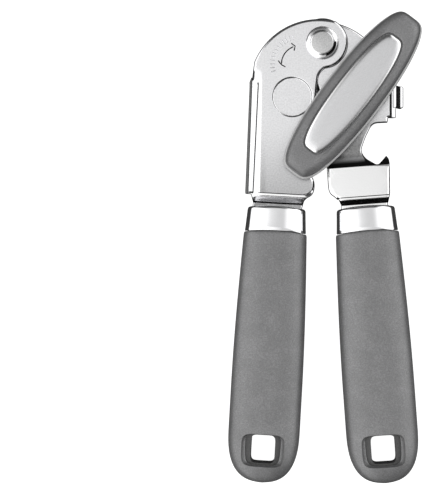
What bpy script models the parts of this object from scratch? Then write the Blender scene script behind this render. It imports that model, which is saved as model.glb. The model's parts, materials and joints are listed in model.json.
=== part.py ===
"""Hand-held can opener lying on its back: +Y points to the head, +X to the right, +Z up to the knob.

The left arm carries the round cutting wheel, the right arm carries the knob and the toothed feed
wheel, and one rivet joins them. A gear on each axle makes both wheels turn together. Lengths are in
millimetres and MM turns them into metres. Until the last step the hinge is at X = 0, Y = 0, and the
front of the left plate is at Z = 0.
"""
import math

import bmesh
import bpy
from mathutils import Vector

MM = 0.001
GAP = 0.3

# Axles: both stand the same distance from the hinge, half the spread angle to each side.
AXLE_DISTANCE = 27.35
HALF_SPREAD = math.radians(29.2)
AXLE_X = AXLE_DISTANCE * math.sin(HALF_SPREAD)
AXLE_Y = -AXLE_DISTANCE * math.cos(HALF_SPREAD)
CLOSING_ANGLE = math.radians(5.5)

# Sheet steel arms.
PLATE = 1.5
REAR_PLATE_Z = -PLATE - GAP
HEAD_CENTRE = (-1.8, -20.1)
HEAD_RADIUS = 30.9
REAR_HEAD_CENTRE = (-1.3, -20.8)
REAR_HEAD_RADIUS = 30.8
LOBE_RADIUS = 11.4
BUTTON_RADIUS = 8.7
BUTTON_DEPTH = 1.2
BUTTON_RELIEF = 12.0
FLANGE_ANGLE = math.radians(33)
FLANGE_BEND = 1.6
LIP_ANGLE = math.radians(70)
LIP_BEND = 0.4
EDGE_STEP = 0.75
EDGE_ANGLE = math.radians(62)
LEFT_NECK = -17.9
LEFT_NECK_ANGLE = math.radians(53)
RISE_ANGLE = math.radians(28)
RISE_BEND = 12.0
RIGHT_NECK_TOP = -36.0
RIGHT_NECK = -16.5
RIGHT_NECK_ANGLE = math.radians(64)
GUARD_WALL = 29.6
GUARD_TREAD = 30.9
GUARD_LIP = 32.7
GUARD_ANGLE = math.radians(66)
GUARD_LEAN = math.radians(17)
TANG_Z = -5.0
TANG_HALF = 7.0
TANG_END = 26.0

# Hinge rivet.
RIVET_HEAD = 7.4
RIVET_FACE = 5.0
RIVET_TOP = 2.5
RIVET_SHANK = 3.5

# Wheels behind the plates: each pair is (front, back) in Z.
GEAR_TEETH = 14
GEAR_Z = (-3.9, -6.4)
GEAR_BACKLASH = 0.4
PRESSURE_ANGLE = math.radians(20)
PITCH_RADIUS = AXLE_DISTANCE * math.sin(HALF_SPREAD - CLOSING_ANGLE / 2)
FEED_TEETH = 28
FEED_RADIUS = 11.2
FEED_Z = (-6.7, -9.2)
CUTTER_RADIUS = 13.6
CUTTER_HUB_RADIUS = 7.0
CUTTER_Z = (-9.5, -11.0)
STUD_RADIUS = 3.0
STUD_END = -11.1
SHAFT_RADIUS = 4.0
SHAFT_FLAT = 3.0
SHAFT_TOP = 9.0
SHAFT_END = -14.0
SCREW_RADIUS = 1.5
BACK_Z = -14.35

# Knob: a long barrel with bowed sides that stands in front of the plates.
KNOB_ANGLE = math.radians(52.5)
KNOB_HALF_LENGTH = 43.4
KNOB_HALF_WIDTH = 13.15
KNOB_POWER = 4.5
KNOB_BOW = 0.29
KNOB_BASE_Z = 3.5
KNOB_SPLIT_Z = 6.6
KNOB_TOP_Z = 14.9
INSERT_HALF_LENGTH = 30.6
INSERT_HALF_WIDTH = 7.65
INSERT_FLOOR_Z = 13.3
SCREW_SEAT_Z = 10.8

# Handles: X and Y of the top of the grip, and the tilt of the handle from the Y axis.
LEFT_HANDLE = (-21.0, -84.4, math.radians(-3.25))
RIGHT_HANDLE = (20.1, -84.4, math.radians(4.17))
HANDLE_Z = TANG_Z - PLATE / 2
GRIP_LENGTH = 111.6
GRIP_TOP_HALF = 14.1
GRIP_SWELL = 2.0
GRIP_SWELL_LENGTH = 70.0
GRIP_END_START = 88.0
GRIP_END_POWER = 2.6
GRIP_HALF_DEPTH = 9.0
GRIP_DEPTH_END_START = 96.0
GRIP_BACK = HANDLE_Z - BACK_Z
GRIP_WALL = 2.6
CORE_END = 106.7
CORE_TOP = 8.4
FERRULE_HEIGHT = 12.2
HANG_HOLE_AT = 96.4
HANG_HOLE_HALF = (5.35, 6.2)
HANG_DISH_HALF = (9.25, 7.35)

ROUND_STEPS = 24
OVAL_STEPS = 36
HANDLE_STEPS = 24
FLAT_ENOUGH = math.radians(0.6)


def clear_scene():
    for obj in list(bpy.data.objects):
        bpy.data.objects.remove(obj, do_unlink=True)


def material(name, colour, roughness, metallic):
    mat = bpy.data.materials.new(name)
    mat.use_nodes = True
    shader = mat.node_tree.nodes["Principled BSDF"]
    shader.inputs["Base Color"].default_value = (*colour, 1)
    shader.inputs["Roughness"].default_value = roughness
    shader.inputs["Metallic"].default_value = metallic
    return mat


def empty(name, parent=None, at=(0, 0, 0)):
    obj = bpy.data.objects.new(name, None)
    bpy.context.scene.collection.objects.link(obj)
    obj.parent = parent
    obj.location = [value * MM for value in at]
    return obj


def solid(name, bm, look, parent, at=(0, 0, 0), turn=0.0):
    """Makes the closed mesh an object, smooth across shallow edges, at a place under its parent."""
    bmesh.ops.recalc_face_normals(bm, faces=bm.faces)
    bmesh.ops.scale(bm, vec=(MM, MM, MM), verts=bm.verts)
    mesh = bpy.data.meshes.new(name)
    bm.to_mesh(mesh)
    bm.free()
    mesh.shade_smooth()
    mesh.set_sharp_from_angle(angle=math.radians(35))
    obj = bpy.data.objects.new(name, mesh)
    bpy.context.scene.collection.objects.link(obj)
    if look:
        mesh.materials.append(look)
    obj.parent = parent
    obj.location = [value * MM for value in at]
    obj.rotation_euler.z = turn
    return obj


def combine(obj, tool, operation):
    """Adds a Boolean whose other solid is a helper that isn't part of the object."""
    tool.hide_render = True
    tool.display_type = "WIRE"
    boolean = obj.modifiers.new(tool.name, "BOOLEAN")
    boolean.operation = operation
    boolean.solver = "EXACT"
    boolean.object = tool


def arc(centre, radius, start, end, steps):
    """Points on a circle from one angle to another, in degrees."""
    angles = [math.radians(start + (end - start) * i / steps) for i in range(steps + 1)]
    return [(centre[0] + radius * math.cos(a), centre[1] + radius * math.sin(a)) for a in angles]


def rounded(corners, steps=4):
    """Outline through corners (x, y, radius), each corner cut by a curve that starts radius away."""
    outline = []
    for i, (x, y, radius) in enumerate(corners):
        here = Vector((x, y))
        if radius == 0:
            outline.append((x, y))
            continue
        before = Vector(corners[i - 1][:2])
        after = Vector(corners[(i + 1) % len(corners)][:2])
        start = here + (before - here).normalized() * radius
        end = here + (after - here).normalized() * radius
        for j in range(steps + 1):
            t = j / steps
            point = start * (1 - t) ** 2 + here * (2 * t * (1 - t)) + end * t**2
            outline.append((point.x, point.y))
    return outline


def loft(rings, closed=False):
    """Joins rings with the same number of points. Open lofts are capped at both ends."""
    bm = bmesh.new()
    rows = [[bm.verts.new(point) for point in ring] for ring in rings]
    pairs = list(zip(rows, rows[1:]))
    if closed:
        pairs.append((rows[-1], rows[0]))
    else:
        bm.faces.new(rows[0])
        bm.faces.new(rows[-1])
    for low, high in pairs:
        for i in range(len(low)):
            j = (i + 1) % len(low)
            bm.faces.new((low[i], low[j], high[j], high[i]))
    return bm


def oval(half_x, half_y, z, power=2.0, steps=ROUND_STEPS):
    """A superellipse at height z: power 2 is an ellipse, and higher powers are squarer."""
    ring = []
    for i in range(steps):
        c = math.cos(math.tau * i / steps)
        s = math.sin(math.tau * i / steps)
        x = half_x * math.copysign(abs(c) ** (2 / power), c)
        y = half_y * math.copysign(abs(s) ** (2 / power), s)
        ring.append((x, y, z))
    return ring


def flatted(radius, flat, z, steps=ROUND_STEPS):
    """A circle cut by two flats, as on a shaft that drives what is pushed on it."""
    return [(x, max(-flat, min(flat, y)), z) for x, y, z in oval(radius, radius, z, 2.0, steps)]


def turned(profile, closed=False):
    """A round piece about Z from its (radius, z) profile."""
    return loft([oval(radius, radius, z) for radius, z in profile], closed)


def bored(outline, bore, front, back):
    """A flat piece with the given outline and a bore whose ring of points is given too."""
    bm = bmesh.new()
    edges = []
    for ring in (outline, [point[:2] for point in bore]):
        verts = [bm.verts.new((x, y, front)) for x, y in ring]
        edges += [bm.edges.new((verts[i - 1], verts[i])) for i in range(len(verts))]
    bmesh.ops.triangle_fill(bm, use_beauty=True, use_dissolve=False, edges=edges, normal=(0, 0, 1))
    return thicken(bm, lambda vert: Vector((0, 0, back - front)))


def thicken(bm, offset):
    """Makes an open sheet a closed solid, with each point's rear copy at its offset."""
    faces = bm.faces[:]
    rims = [edge for edge in bm.edges if edge.is_boundary]
    back = {vert: bm.verts.new(vert.co + offset(vert)) for vert in bm.verts[:]}
    for face in faces:
        bm.faces.new([back[vert] for vert in reversed(face.verts)])
    for edge in rims:
        a, b = edge.verts
        bm.faces.new((a, b, back[b], back[a]))
    return bm


def gear_outline(phase):
    """Involute teeth, with one tooth centred on the phase angle."""
    module = 2 * PITCH_RADIUS / GEAR_TEETH
    base = PITCH_RADIUS * math.cos(PRESSURE_ANGLE)
    outer = PITCH_RADIUS + module
    root = PITCH_RADIUS - 1.2 * module
    at_pitch = math.pi / (2 * GEAR_TEETH) - GEAR_BACKLASH / (2 * PITCH_RADIUS)
    at_base = at_pitch + math.tan(PRESSURE_ANGLE) - PRESSURE_ANGLE
    flank = [(root, at_base)]
    for i in range(3):
        radius = base + (outer - base) * i / 2
        slope = math.acos(base / radius)
        flank.append((radius, at_base - math.tan(slope) + slope))
    outline = []
    for tooth in range(GEAR_TEETH):
        middle = phase + math.tau * tooth / GEAR_TEETH
        sides = [(r, middle - a) for r, a in flank] + [(r, middle + a) for r, a in reversed(flank)]
        outline += [(r * math.cos(a), r * math.sin(a)) for r, a in sides]
    return outline


def feed_outline():
    """Sharp-cornered teeth that bite under the rim of a can."""
    outline = []
    pitch = math.tau / FEED_TEETH
    for tooth in range(FEED_TEETH):
        for radius, share in ((FEED_RADIUS - 1.0, 0.1), (FEED_RADIUS, 0.4), (FEED_RADIUS, 0.6),
                              (FEED_RADIUS - 1.0, 0.9)):
            angle = pitch * (tooth + share)
            outline.append((radius * math.cos(angle), radius * math.sin(angle)))
    return outline


def fold(distance, angle, radius):
    """How far a sheet has dropped at a distance past the start of a bend of that angle."""
    if distance <= 0:
        return 0.0
    reach = radius * math.sin(angle)
    if distance < reach:
        return radius - math.sqrt(radius**2 - distance**2)
    return radius * (1 - math.cos(angle)) + (distance - reach) * math.tan(angle)


def step(distance, drop, angle, radius, end_radius):
    """A drop to a parallel level: a bend down, and a bend back when the drop is complete."""
    slope_start = radius * math.sin(angle)
    slope_drop = drop - radius * (1 - math.cos(angle))
    back = slope_start + slope_drop / math.tan(angle) - end_radius * math.tan(angle / 2)
    return fold(distance, angle, radius) - fold(distance - back, angle, end_radius)


def ease(value):
    value = max(0.0, min(1.0, value))
    return value * value * (3 - 2 * value)


def sheet(outline, height, lines):
    """Sheet metal: the outline filled, cut along straight lines where it bends, raised and thickened.

    A line is (x, y, nx, ny): a point on it and the direction across it.
    """
    bm = bmesh.new()
    verts = [bm.verts.new((x, y, 0)) for x, y in outline]
    edges = [bm.edges.new((verts[i - 1], verts[i])) for i in range(len(verts))]
    bmesh.ops.triangle_fill(bm, use_beauty=True, use_dissolve=False, edges=edges, normal=(0, 0, 1))
    for x, y, nx, ny in lines:
        everything = bm.verts[:] + bm.edges[:] + bm.faces[:]
        bmesh.ops.bisect_plane(bm, geom=everything, dist=0.001, plane_co=(x, y, 0), plane_no=(nx, ny, 0))
    reach = 0.05
    for vert in bm.verts:
        vert.co.z = height(vert.co.x, vert.co.y)

    def behind(vert):
        x, y = vert.co.x, vert.co.y
        slope_x = (height(x + reach, y) - height(x - reach, y)) / (2 * reach)
        slope_y = (height(x, y + reach) - height(x, y - reach)) / (2 * reach)
        return Vector((-slope_x, -slope_y, 1)).normalized() * -PLATE

    thicken(bm, behind)
    bmesh.ops.recalc_face_normals(bm, faces=bm.faces)
    bmesh.ops.dissolve_limit(bm, angle_limit=FLAT_ENOUGH, verts=bm.verts, edges=bm.edges)
    return bm


def handle_point(handle, across, down):
    """A point in a handle's own frame, as X and Y of the whole opener."""
    x, y, tilt = handle
    return (x + across * math.cos(tilt) + down * math.sin(tilt),
            y + across * math.sin(tilt) - down * math.cos(tilt))


def tang(handle, neck_left, neck_right):
    """Outline of the strip that runs down into a handle, from its left side round to its right."""
    shoulder = -10.4
    return [(*neck_left, 0),
            (*handle_point(handle, -11.2, shoulder), 0.8),
            (*handle_point(handle, -TANG_HALF, shoulder + 1.2), 0.5),
            (*handle_point(handle, -TANG_HALF, TANG_END), 2),
            (*handle_point(handle, TANG_HALF, TANG_END), 2),
            (*handle_point(handle, TANG_HALF, shoulder + 1.2), 0.5),
            (*handle_point(handle, 11.2, shoulder), 0.8),
            (*neck_right, 0)]


def down_handle(handle, x, y):
    """Distance of a point down a handle's axis from the top of the grip."""
    return (x - handle[0]) * math.sin(handle[2]) - (y - handle[1]) * math.cos(handle[2])


def across_handle(handle, downs):
    """Bend lines square to a handle's axis."""
    direction = (math.sin(handle[2]), -math.cos(handle[2]))
    return [(*handle_point(handle, 0, down), *direction) for down in downs]


def flange_line(y):
    """X where the left plate's side starts to bend."""
    return -26.6 + (y + 19.0) * 0.017


def lip_line(y):
    """X where the flange bends down again to its lip."""
    return -31.45 + (y + 16.2) * 0.036


def front_height(x, y):
    side = fold(flange_line(y) - x, FLANGE_ANGLE, FLANGE_BEND) * ease((-10.5 - y) / 9.0)
    lip = fold(lip_line(y) - x, LIP_ANGLE, LIP_BEND) * ease((-16.0 - y) / 0.4)
    down = down_handle(LEFT_HANDLE, x, y) - LEFT_NECK
    edge = step(down, EDGE_STEP, EDGE_ANGLE, 0.16, 0.16)
    neck = step(down - 1.4, -TANG_Z - EDGE_STEP, LEFT_NECK_ANGLE, 0.7, 0.7)
    return -max(side + lip, edge + neck)


def make_front_plate(parent, look):
    outline = rounded([(-2.2, -21.5, 0), (-1.7, -13.6, 2.5), (1.0, -11.35, 0)])
    outline += arc((0, 0), LOBE_RADIUS, -70, 60, 12)
    outline += arc(HEAD_CENTRE, HEAD_RADIUS, 79, 157, 16)
    outline += rounded([(-31.6, -15.9, 0), (-32.35, -16.4, 0), (-34.4, -66.9, 1.1), (-31.8, -67.1, 0.5)]
                       + tang(LEFT_HANDLE, (-31.0, -70.6), (-8.5, -71.6))
                       + [(-8.1, -70.2, 0.6), (-6.9, -69.0, 0.9), (-4.6, -67.8, 1.2),
                          (-3.5, -65.6, 1.4), (-3.3, -61.5, 2.0)])
    lines = [(flange_line(-19.0) - d, -19.0, 1.0, -0.017) for d in (0, 0.45, 0.87)]
    lines += [(lip_line(-16.2) - d, -16.2, 1.0, -0.036) for d in (0, 0.38)]
    lines += [(0, y, 0, 1) for y in (-10.5, -13.0, -15.8, -16.1, -16.4, -19.5)]
    lines += across_handle(LEFT_HANDLE, [LEFT_NECK + d for d in (0, 0.45, 1.4, 1.75, 2.0, 4.2, 4.6, 4.9)])
    plate = solid("cutter_arm_plate", sheet(outline, front_height, lines), look, parent)
    button = solid("front_button_tool", turned([(BUTTON_RADIUS + GAP, -PLATE / 2),
                                                (BUTTON_RADIUS + GAP, -PLATE - BUTTON_DEPTH)]),
                   None, parent, (-AXLE_X, AXLE_Y, 0))
    recess = solid("front_recess_tool", turned([(BUTTON_RADIUS, 1), (BUTTON_RADIUS, -BUTTON_DEPTH)]),
                   None, parent, (-AXLE_X, AXLE_Y, 0))
    hole = solid("front_hole_tool", turned([(RIVET_SHANK + GAP, 1), (RIVET_SHANK + GAP, -4)]),
                 None, parent)
    combine(plate, button, "UNION")
    combine(plate, recess, "DIFFERENCE")
    combine(plate, hole, "DIFFERENCE")


def guard_drop(x, y):
    """The can guard at the right: two walls, each followed by a tread that leans outwards."""
    first = step(x - GUARD_WALL, 2.8, GUARD_ANGLE, 0.3, 0.3) + fold(x - GUARD_TREAD, GUARD_LEAN, 0.4)
    second = step(x - GUARD_LIP, 4.6, GUARD_ANGLE, 0.4, 0.4)
    return (first + second) * ease((y + 35.2) / 0.8)


def rear_height(x, y):
    down = down_handle(RIGHT_HANDLE, x, y)
    rise = step(down - RIGHT_NECK_TOP, -REAR_PLATE_Z, RISE_ANGLE, RISE_BEND, 0.4)
    neck = step(down - RIGHT_NECK - 0.8, -TANG_Z, RIGHT_NECK_ANGLE, 0.6, 0.6)
    return REAR_PLATE_Z + rise - neck - guard_drop(x, y)


def bottle_notch():
    """Right edge of the rear plate from the claw's outer side round the notch to its upper lip."""
    return [(29.9, -53.8, 0), (29.6, -51.6, 0.5), (28.4, -50.0, 0.35), (26.9, -51.8, 0.8),
            (24.6, -54.4, 1.6), (18.8, -50.9, 2.0), (17.2, -47.6, 1.5), (19.3, -41.6, 1.8),
            (22.3, -35.7, 2.4), (29.0, -35.4, 0.4)]


def make_rear_plate(parent, look):
    outline = rounded(tang(RIGHT_HANDLE, (8.6, -72.4), (29.2, -71.5))
                      + [(29.5, -70.4, 0.5), (30.1, -66.6, 0.8)]
                      + bottle_notch()
                      + [(29.3, -33.2, 0.2), (32.8, -33.2, 0.8), (32.9, -28.3, 0.3), (36.4, -28.3, 0.9),
                         (36.4, -18.5, 0.9), (29.45, -18.5, 0.2)])
    outline += arc(REAR_HEAD_CENTRE, REAR_HEAD_RADIUS, 6, 76, 16)
    outline += arc((0, 0), LOBE_RADIUS, 66, 236, 14)
    outline += arc((-AXLE_X, AXLE_Y), BUTTON_RELIEF, 50, -22, 8)
    outline += rounded([(0.5, -36.0, 0), (2.0, -55.5, 0.5), (2.7, -65.2, 1.2), (3.6, -67.2, 0.8),
                        (5.8, -68.8, 1.2), (7.2, -70.2, 1.0)])
    lines = across_handle(RIGHT_HANDLE, [RIGHT_NECK_TOP + d for d in (0, 1.9, 3.8, 5.6, 6.2, 6.5)])
    lines += across_handle(RIGHT_HANDLE, [RIGHT_NECK + 0.8 + d for d in (0, 0.3, 0.55, 2.2, 2.5, 2.75)])
    lines += [(GUARD_WALL + d, 0, 1, 0) for d in (0, 0.3, 1.05, 1.35, 1.5)]
    lines += [(GUARD_LIP + d, 0, 1, 0) for d in (0, 0.35, 1.8, 2.15)]
    plate = solid("drive_arm_plate", sheet(outline, rear_height, lines), look, parent)
    hinge = solid("rear_hole_tool", turned([(RIVET_SHANK + GAP, 1), (RIVET_SHANK + GAP, -6)]),
                  None, parent)
    shaft = solid("rear_bushing_tool", turned([(5.3, 1), (5.3, -6)]), None, parent, (AXLE_X, AXLE_Y, 0))
    combine(plate, hinge, "DIFFERENCE")
    combine(plate, shaft, "DIFFERENCE")


def make_hinge(parent, look):
    """A stepped rivet whose tail is upset over a washer behind the rear plate."""
    rear = REAR_PLATE_Z - PLATE
    head = [(RIVET_FACE, RIVET_TOP), (RIVET_FACE + 0.5, RIVET_TOP - 0.2), (RIVET_HEAD - 0.7, 1.2),
            (RIVET_HEAD - 0.1, 0.8), (RIVET_HEAD, GAP), (RIVET_SHANK, GAP)]
    tail = [(RIVET_SHANK, rear - 1.6), (5.4, rear - 1.6), (5.2, rear - 2.3), (3.6, rear - 2.8)]
    solid("pivot_rivet", turned(head + tail), look, parent)
    washer = [(3.8, rear - GAP), (6.4, rear - GAP), (6.4, rear - 1.3), (3.8, rear - 1.3)]
    solid("pivot_washer", turned(washer, closed=True), look, parent)


def make_cutter_mount(parent, look):
    """The fixed stud behind the left plate, and the screw and washer that keep the cutter on it."""
    at = (-AXLE_X, AXLE_Y, 0)
    stud = [(STUD_RADIUS, -PLATE - BUTTON_DEPTH - GAP), (STUD_RADIUS, STUD_END),
            (SCREW_RADIUS + GAP, STUD_END), (SCREW_RADIUS + GAP, STUD_END + 5)]
    solid("cutter_stud", turned(stud), look, parent, at)
    washer = [(1.8, STUD_END - GAP), (5.6, STUD_END - GAP), (5.6, STUD_END - 1), (1.8, STUD_END - 1)]
    solid("cutter_washer", turned(washer, closed=True), look, parent, at)
    screw = [(SCREW_RADIUS, STUD_END + 4), (SCREW_RADIUS, STUD_END - 1 - GAP), (4.6, STUD_END - 1 - GAP),
             (4.6, BACK_Z + 0.4), (4.2, BACK_Z)]
    slot = loft([[(x, y, z) for x, y in ((-6, -0.5), (6, -0.5), (6, 0.5), (-6, 0.5))]
                 for z in (BACK_Z - 1, BACK_Z + 0.9)])
    head = solid("cutter_screw", turned(screw), look, parent, at)
    combine(head, solid("screw_slot_tool", slot, None, parent, at), "DIFFERENCE")


def make_cutter(parent, steel, blade):
    """Gear, hub and cutting wheel: they turn together on the stud."""
    bore = STUD_RADIUS + GAP
    solid("cutter_gear", bored(gear_outline(0.0), oval(bore, bore, 0), *GEAR_Z), steel, parent)
    hub = [(bore, GEAR_Z[1] - GAP), (CUTTER_HUB_RADIUS, GEAR_Z[1] - GAP),
           (CUTTER_HUB_RADIUS, CUTTER_Z[0] + GAP), (bore, CUTTER_Z[0] + GAP)]
    solid("cutter_hub", turned(hub, closed=True), steel, parent)
    front, back = CUTTER_Z
    wheel = [(bore, front), (CUTTER_RADIUS, front), (CUTTER_RADIUS, front - 0.15),
             (CUTTER_RADIUS - 3.2, back), (bore, back)]
    solid("cutting_wheel", turned(wheel, closed=True), blade, parent)


def make_bushing(parent, look):
    """The flanged sleeve in the right plate that the knob's shaft turns in."""
    at = (AXLE_X, AXLE_Y, 0)
    front, rear = REAR_PLATE_Z + GAP, REAR_PLATE_Z - PLATE - 0.2
    sleeve = [(SHAFT_RADIUS + GAP, front + 0.7), (6.8, front + 0.7), (6.8, front), (5.0, front),
              (5.0, rear), (SHAFT_RADIUS + GAP, rear)]
    solid("shaft_bushing", turned(sleeve, closed=True), look, parent, at)


def make_drive(parent, steel, blade, bright):
    """Shaft, gear, feed wheel and their nut: they turn with the knob."""
    shoulder = GEAR_Z[0] + 0.2
    flats = FEED_Z[1] + 0.1
    collar_top = KNOB_BASE_Z - GAP
    thread = 3.0
    rings = [oval(thread, thread, SHAFT_END), oval(thread, thread, flats),
             flatted(SHAFT_RADIUS, SHAFT_FLAT, flats), flatted(SHAFT_RADIUS, SHAFT_FLAT, shoulder),
             oval(SHAFT_RADIUS, SHAFT_RADIUS, shoulder), oval(SHAFT_RADIUS, SHAFT_RADIUS, collar_top),
             flatted(SHAFT_RADIUS, SHAFT_FLAT, collar_top), flatted(SHAFT_RADIUS, SHAFT_FLAT, SHAFT_TOP),
             oval(SCREW_RADIUS + GAP, SCREW_RADIUS + GAP, SHAFT_TOP),
             oval(SCREW_RADIUS + GAP, SCREW_RADIUS + GAP, 1.0)]
    solid("drive_shaft", loft(rings), steel, parent, turn=KNOB_ANGLE)
    bore = flatted(SHAFT_RADIUS + GAP, SHAFT_FLAT + GAP, 0)
    phase = math.pi + math.pi / GEAR_TEETH - KNOB_ANGLE
    solid("drive_gear", bored(gear_outline(phase), bore, *GEAR_Z), steel, parent, turn=KNOB_ANGLE)
    solid("feed_wheel", bored(feed_outline(), bore, *FEED_Z), blade, parent, turn=KNOB_ANGLE)
    spring = [(thread + GAP, FEED_Z[1] - GAP), (6.2, FEED_Z[1] - 0.5), (6.2, FEED_Z[1] - 1.1),
              (thread + GAP, FEED_Z[1] - 0.9)]
    solid("spring_washer", turned(spring, closed=True), bright, parent)
    hexagon = arc((0, 0), 6.3, 0, 300, 5)
    nut = bored(hexagon, oval(thread + GAP, thread + GAP, 0), FEED_Z[1] - 1.5, FEED_Z[1] - 4.4)
    solid("shaft_nut", nut, bright, parent)
    collar = [(SHAFT_RADIUS + GAP, REAR_PLATE_Z + 1.3), (6.2, REAR_PLATE_Z + 1.3), (6.2, collar_top),
              (SHAFT_RADIUS + GAP, collar_top)]
    solid("knob_collar", turned(collar, closed=True), bright, parent)


def barrel(half_length, half_width, z):
    """Ring with bowed sides and blunt, rounded ends, its long axis on X."""
    ring = []
    for i in range(OVAL_STEPS):
        angle = math.tau * i / OVAL_STEPS
        x = math.cos(angle)
        y = math.sin(angle)
        reach = (abs(x) ** KNOB_POWER + abs(y) ** KNOB_POWER) ** (-1 / KNOB_POWER)
        bow = 1 - KNOB_BOW * (x * reach) ** 2
        ring.append((half_length * x * reach, half_width * y * reach * bow, z))
    return ring


def knob_ring(inset, z):
    return barrel(KNOB_HALF_LENGTH - inset, KNOB_HALF_WIDTH - inset, z)


def make_knob(parent, shell, grip, bright, steel):
    """Back shell, soft front, trim plate and the screw under it that holds the knob on the shaft."""
    socket = [flatted(SHAFT_RADIUS + GAP, SHAFT_FLAT + GAP, z, OVAL_STEPS)
              for z in (KNOB_SPLIT_Z, KNOB_BASE_Z)]
    rings = [knob_ring(1.6, KNOB_BASE_Z), knob_ring(0.4, KNOB_BASE_Z + 0.7), knob_ring(0, KNOB_SPLIT_Z - 1),
             knob_ring(0.2, KNOB_SPLIT_Z)] + socket
    solid("knob_back", loft(rings, closed=True), shell, parent, turn=KNOB_ANGLE)

    def pocket(inset, z):
        return barrel(INSERT_HALF_LENGTH - inset, INSERT_HALF_WIDTH - inset, z)

    def hole(radius, z):
        return oval(radius, radius, z, 2.0, OVAL_STEPS)

    bottom = KNOB_SPLIT_Z + GAP
    top = KNOB_TOP_Z
    rings = [knob_ring(0.5, bottom), knob_ring(0, bottom + 0.6), knob_ring(0, top - 3.4),
             knob_ring(0.7, top - 1.5), knob_ring(2.0, top - 0.5), knob_ring(3.6, top),
             pocket(-0.4, top - 0.1), pocket(-0.4, INSERT_FLOOR_Z),
             hole(4.0, INSERT_FLOOR_Z), hole(4.0, SCREW_SEAT_Z), hole(1.8, SCREW_SEAT_Z),
             hole(1.8, SHAFT_TOP + GAP),
             flatted(SHAFT_RADIUS + GAP, SHAFT_FLAT + GAP, SHAFT_TOP + GAP, OVAL_STEPS),
             flatted(SHAFT_RADIUS + GAP, SHAFT_FLAT + GAP, bottom, OVAL_STEPS)]
    solid("knob_grip", loft(rings, closed=True), grip, parent, turn=KNOB_ANGLE)
    rings = [pocket(0, INSERT_FLOOR_Z + GAP), pocket(0, top - 0.2), pocket(0.5, top),
             pocket(3.0, top + 0.35), pocket(5.5, top + 0.5)]
    solid("knob_insert", loft(rings), bright, parent, turn=KNOB_ANGLE)
    screw = [(SCREW_RADIUS, 2.0), (SCREW_RADIUS, SCREW_SEAT_Z + GAP), (3.6, SCREW_SEAT_Z + GAP),
             (3.5, INSERT_FLOOR_Z - 0.8), (2.4, INSERT_FLOOR_Z - 0.2)]
    solid("knob_screw", turned(screw), steel, parent)


def handle_section(half_width, half_depth, back, down, power=2.6):
    """Ring across a handle: a superellipse whose rear side is cut flat."""
    ring = []
    for x, z, _ in oval(half_width, half_depth, 0, power, HANDLE_STEPS):
        ring.append((x, -down, max(z, -back)))
    return ring


def grip_section(inset, down):
    """The grip's outer section at a distance down the handle, moved in by the inset."""
    half_width = GRIP_TOP_HALF + GRIP_SWELL * math.sin(math.pi / 2 * min(1, down / GRIP_SWELL_LENGTH))
    past = max(0, (down - GRIP_END_START) / (GRIP_LENGTH - GRIP_END_START))
    half_width *= (1 - past**GRIP_END_POWER) ** (1 / GRIP_END_POWER)
    past = max(0, (down - GRIP_DEPTH_END_START) / (GRIP_LENGTH + 0.6 - GRIP_DEPTH_END_START))
    half_depth = GRIP_HALF_DEPTH * (1 - past**2.5) ** (1 / 2.5)
    return handle_section(half_width - inset, half_depth - inset, GRIP_BACK - inset, down)


def hang_tool(name, rings, parent, at, turn):
    rings = [[(x, y - HANG_HOLE_AT, z) for x, y, z in ring] for ring in rings]
    return solid(name, loft(rings), None, parent, at, turn)


def make_handle(side, handle, parent, chrome, core_look, grip_look):
    """Chrome collar, hard core with a slot for the tang, and the soft grip moulded round the core."""
    at = (handle[0], handle[1], HANDLE_Z)
    turn = handle[2]
    slot = [handle_section(11.9, 1.2, 2, -y, 12) for y in (FERRULE_HEIGHT, FERRULE_HEIGHT - 1.5)]
    rings = [handle_section(13.7, 8.7, 8.4, -GAP), handle_section(13.45, 8.5, 8.2, -6.0),
             handle_section(13.2, 8.2, 8.0, -FERRULE_HEIGHT + 2.0),
             handle_section(12.8, 7.7, 7.6, -FERRULE_HEIGHT + 0.6),
             handle_section(12.2, 6.8, 6.8, -FERRULE_HEIGHT)] + slot + [
             handle_section(12.1, 7.0, 6.8, -FERRULE_HEIGHT + 1.5), handle_section(12.3, 7.2, 7.0, -GAP)]
    solid(side + "_ferrule", loft(rings, closed=True), chrome, parent, at, turn)

    inner_downs = (18.0, 45.0, 84.0, 95.0, 102.0)
    rings = [grip_section(GRIP_WALL + 3 * GAP, CORE_END)]
    rings += [grip_section(GRIP_WALL + GAP, down) for down in (*inner_downs[::-1], GAP)]
    rings += [handle_section(11.1, 6.0, 5.8, GAP), handle_section(11.0, 5.9, 5.7, -CORE_TOP),
              handle_section(TANG_HALF + GAP, PLATE / 2 + GAP, 3, -CORE_TOP, 12),
              handle_section(TANG_HALF + GAP, PLATE / 2 + GAP, 3, TANG_END + 0.6, 12)]
    core = solid(side + "_handle_core", loft(rings), core_look, parent, at, turn)
    tool = hang_tool(side + "_core_hole_tool", [oval(*HANG_HOLE_HALF, z, 5, 24) for z in (-12, 12)],
                     parent, at, turn)
    combine(core, tool, "DIFFERENCE")

    downs = [GRIP_LENGTH - d for d in (0.05, 0.8, 2.5, 5.3, 9.8)] + [95.0, 86.0, 66.0, 45.0, 22.0, 0.0]
    rings = [grip_section(0, down) for down in downs]
    rings += [grip_section(GRIP_WALL, down) for down in (0, *inner_downs, CORE_END + GAP)]
    grip = solid(side + "_grip", loft(rings), grip_look, parent, at, turn)
    waist = (HANG_HOLE_HALF[0] + 0.7, HANG_HOLE_HALF[1] + 0.4)
    face = (HANG_DISH_HALF[0] + 1.0, HANG_DISH_HALF[1] + 0.3)
    dish = [oval(*face, -11, 5, 24), oval(*waist, -6.4, 5, 24), oval(*waist, 6.4, 5, 24),
            oval(*face, 11, 5, 24)]
    combine(grip, hang_tool(side + "_grip_hole_tool", dish, parent, at, turn), "DIFFERENCE")


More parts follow.
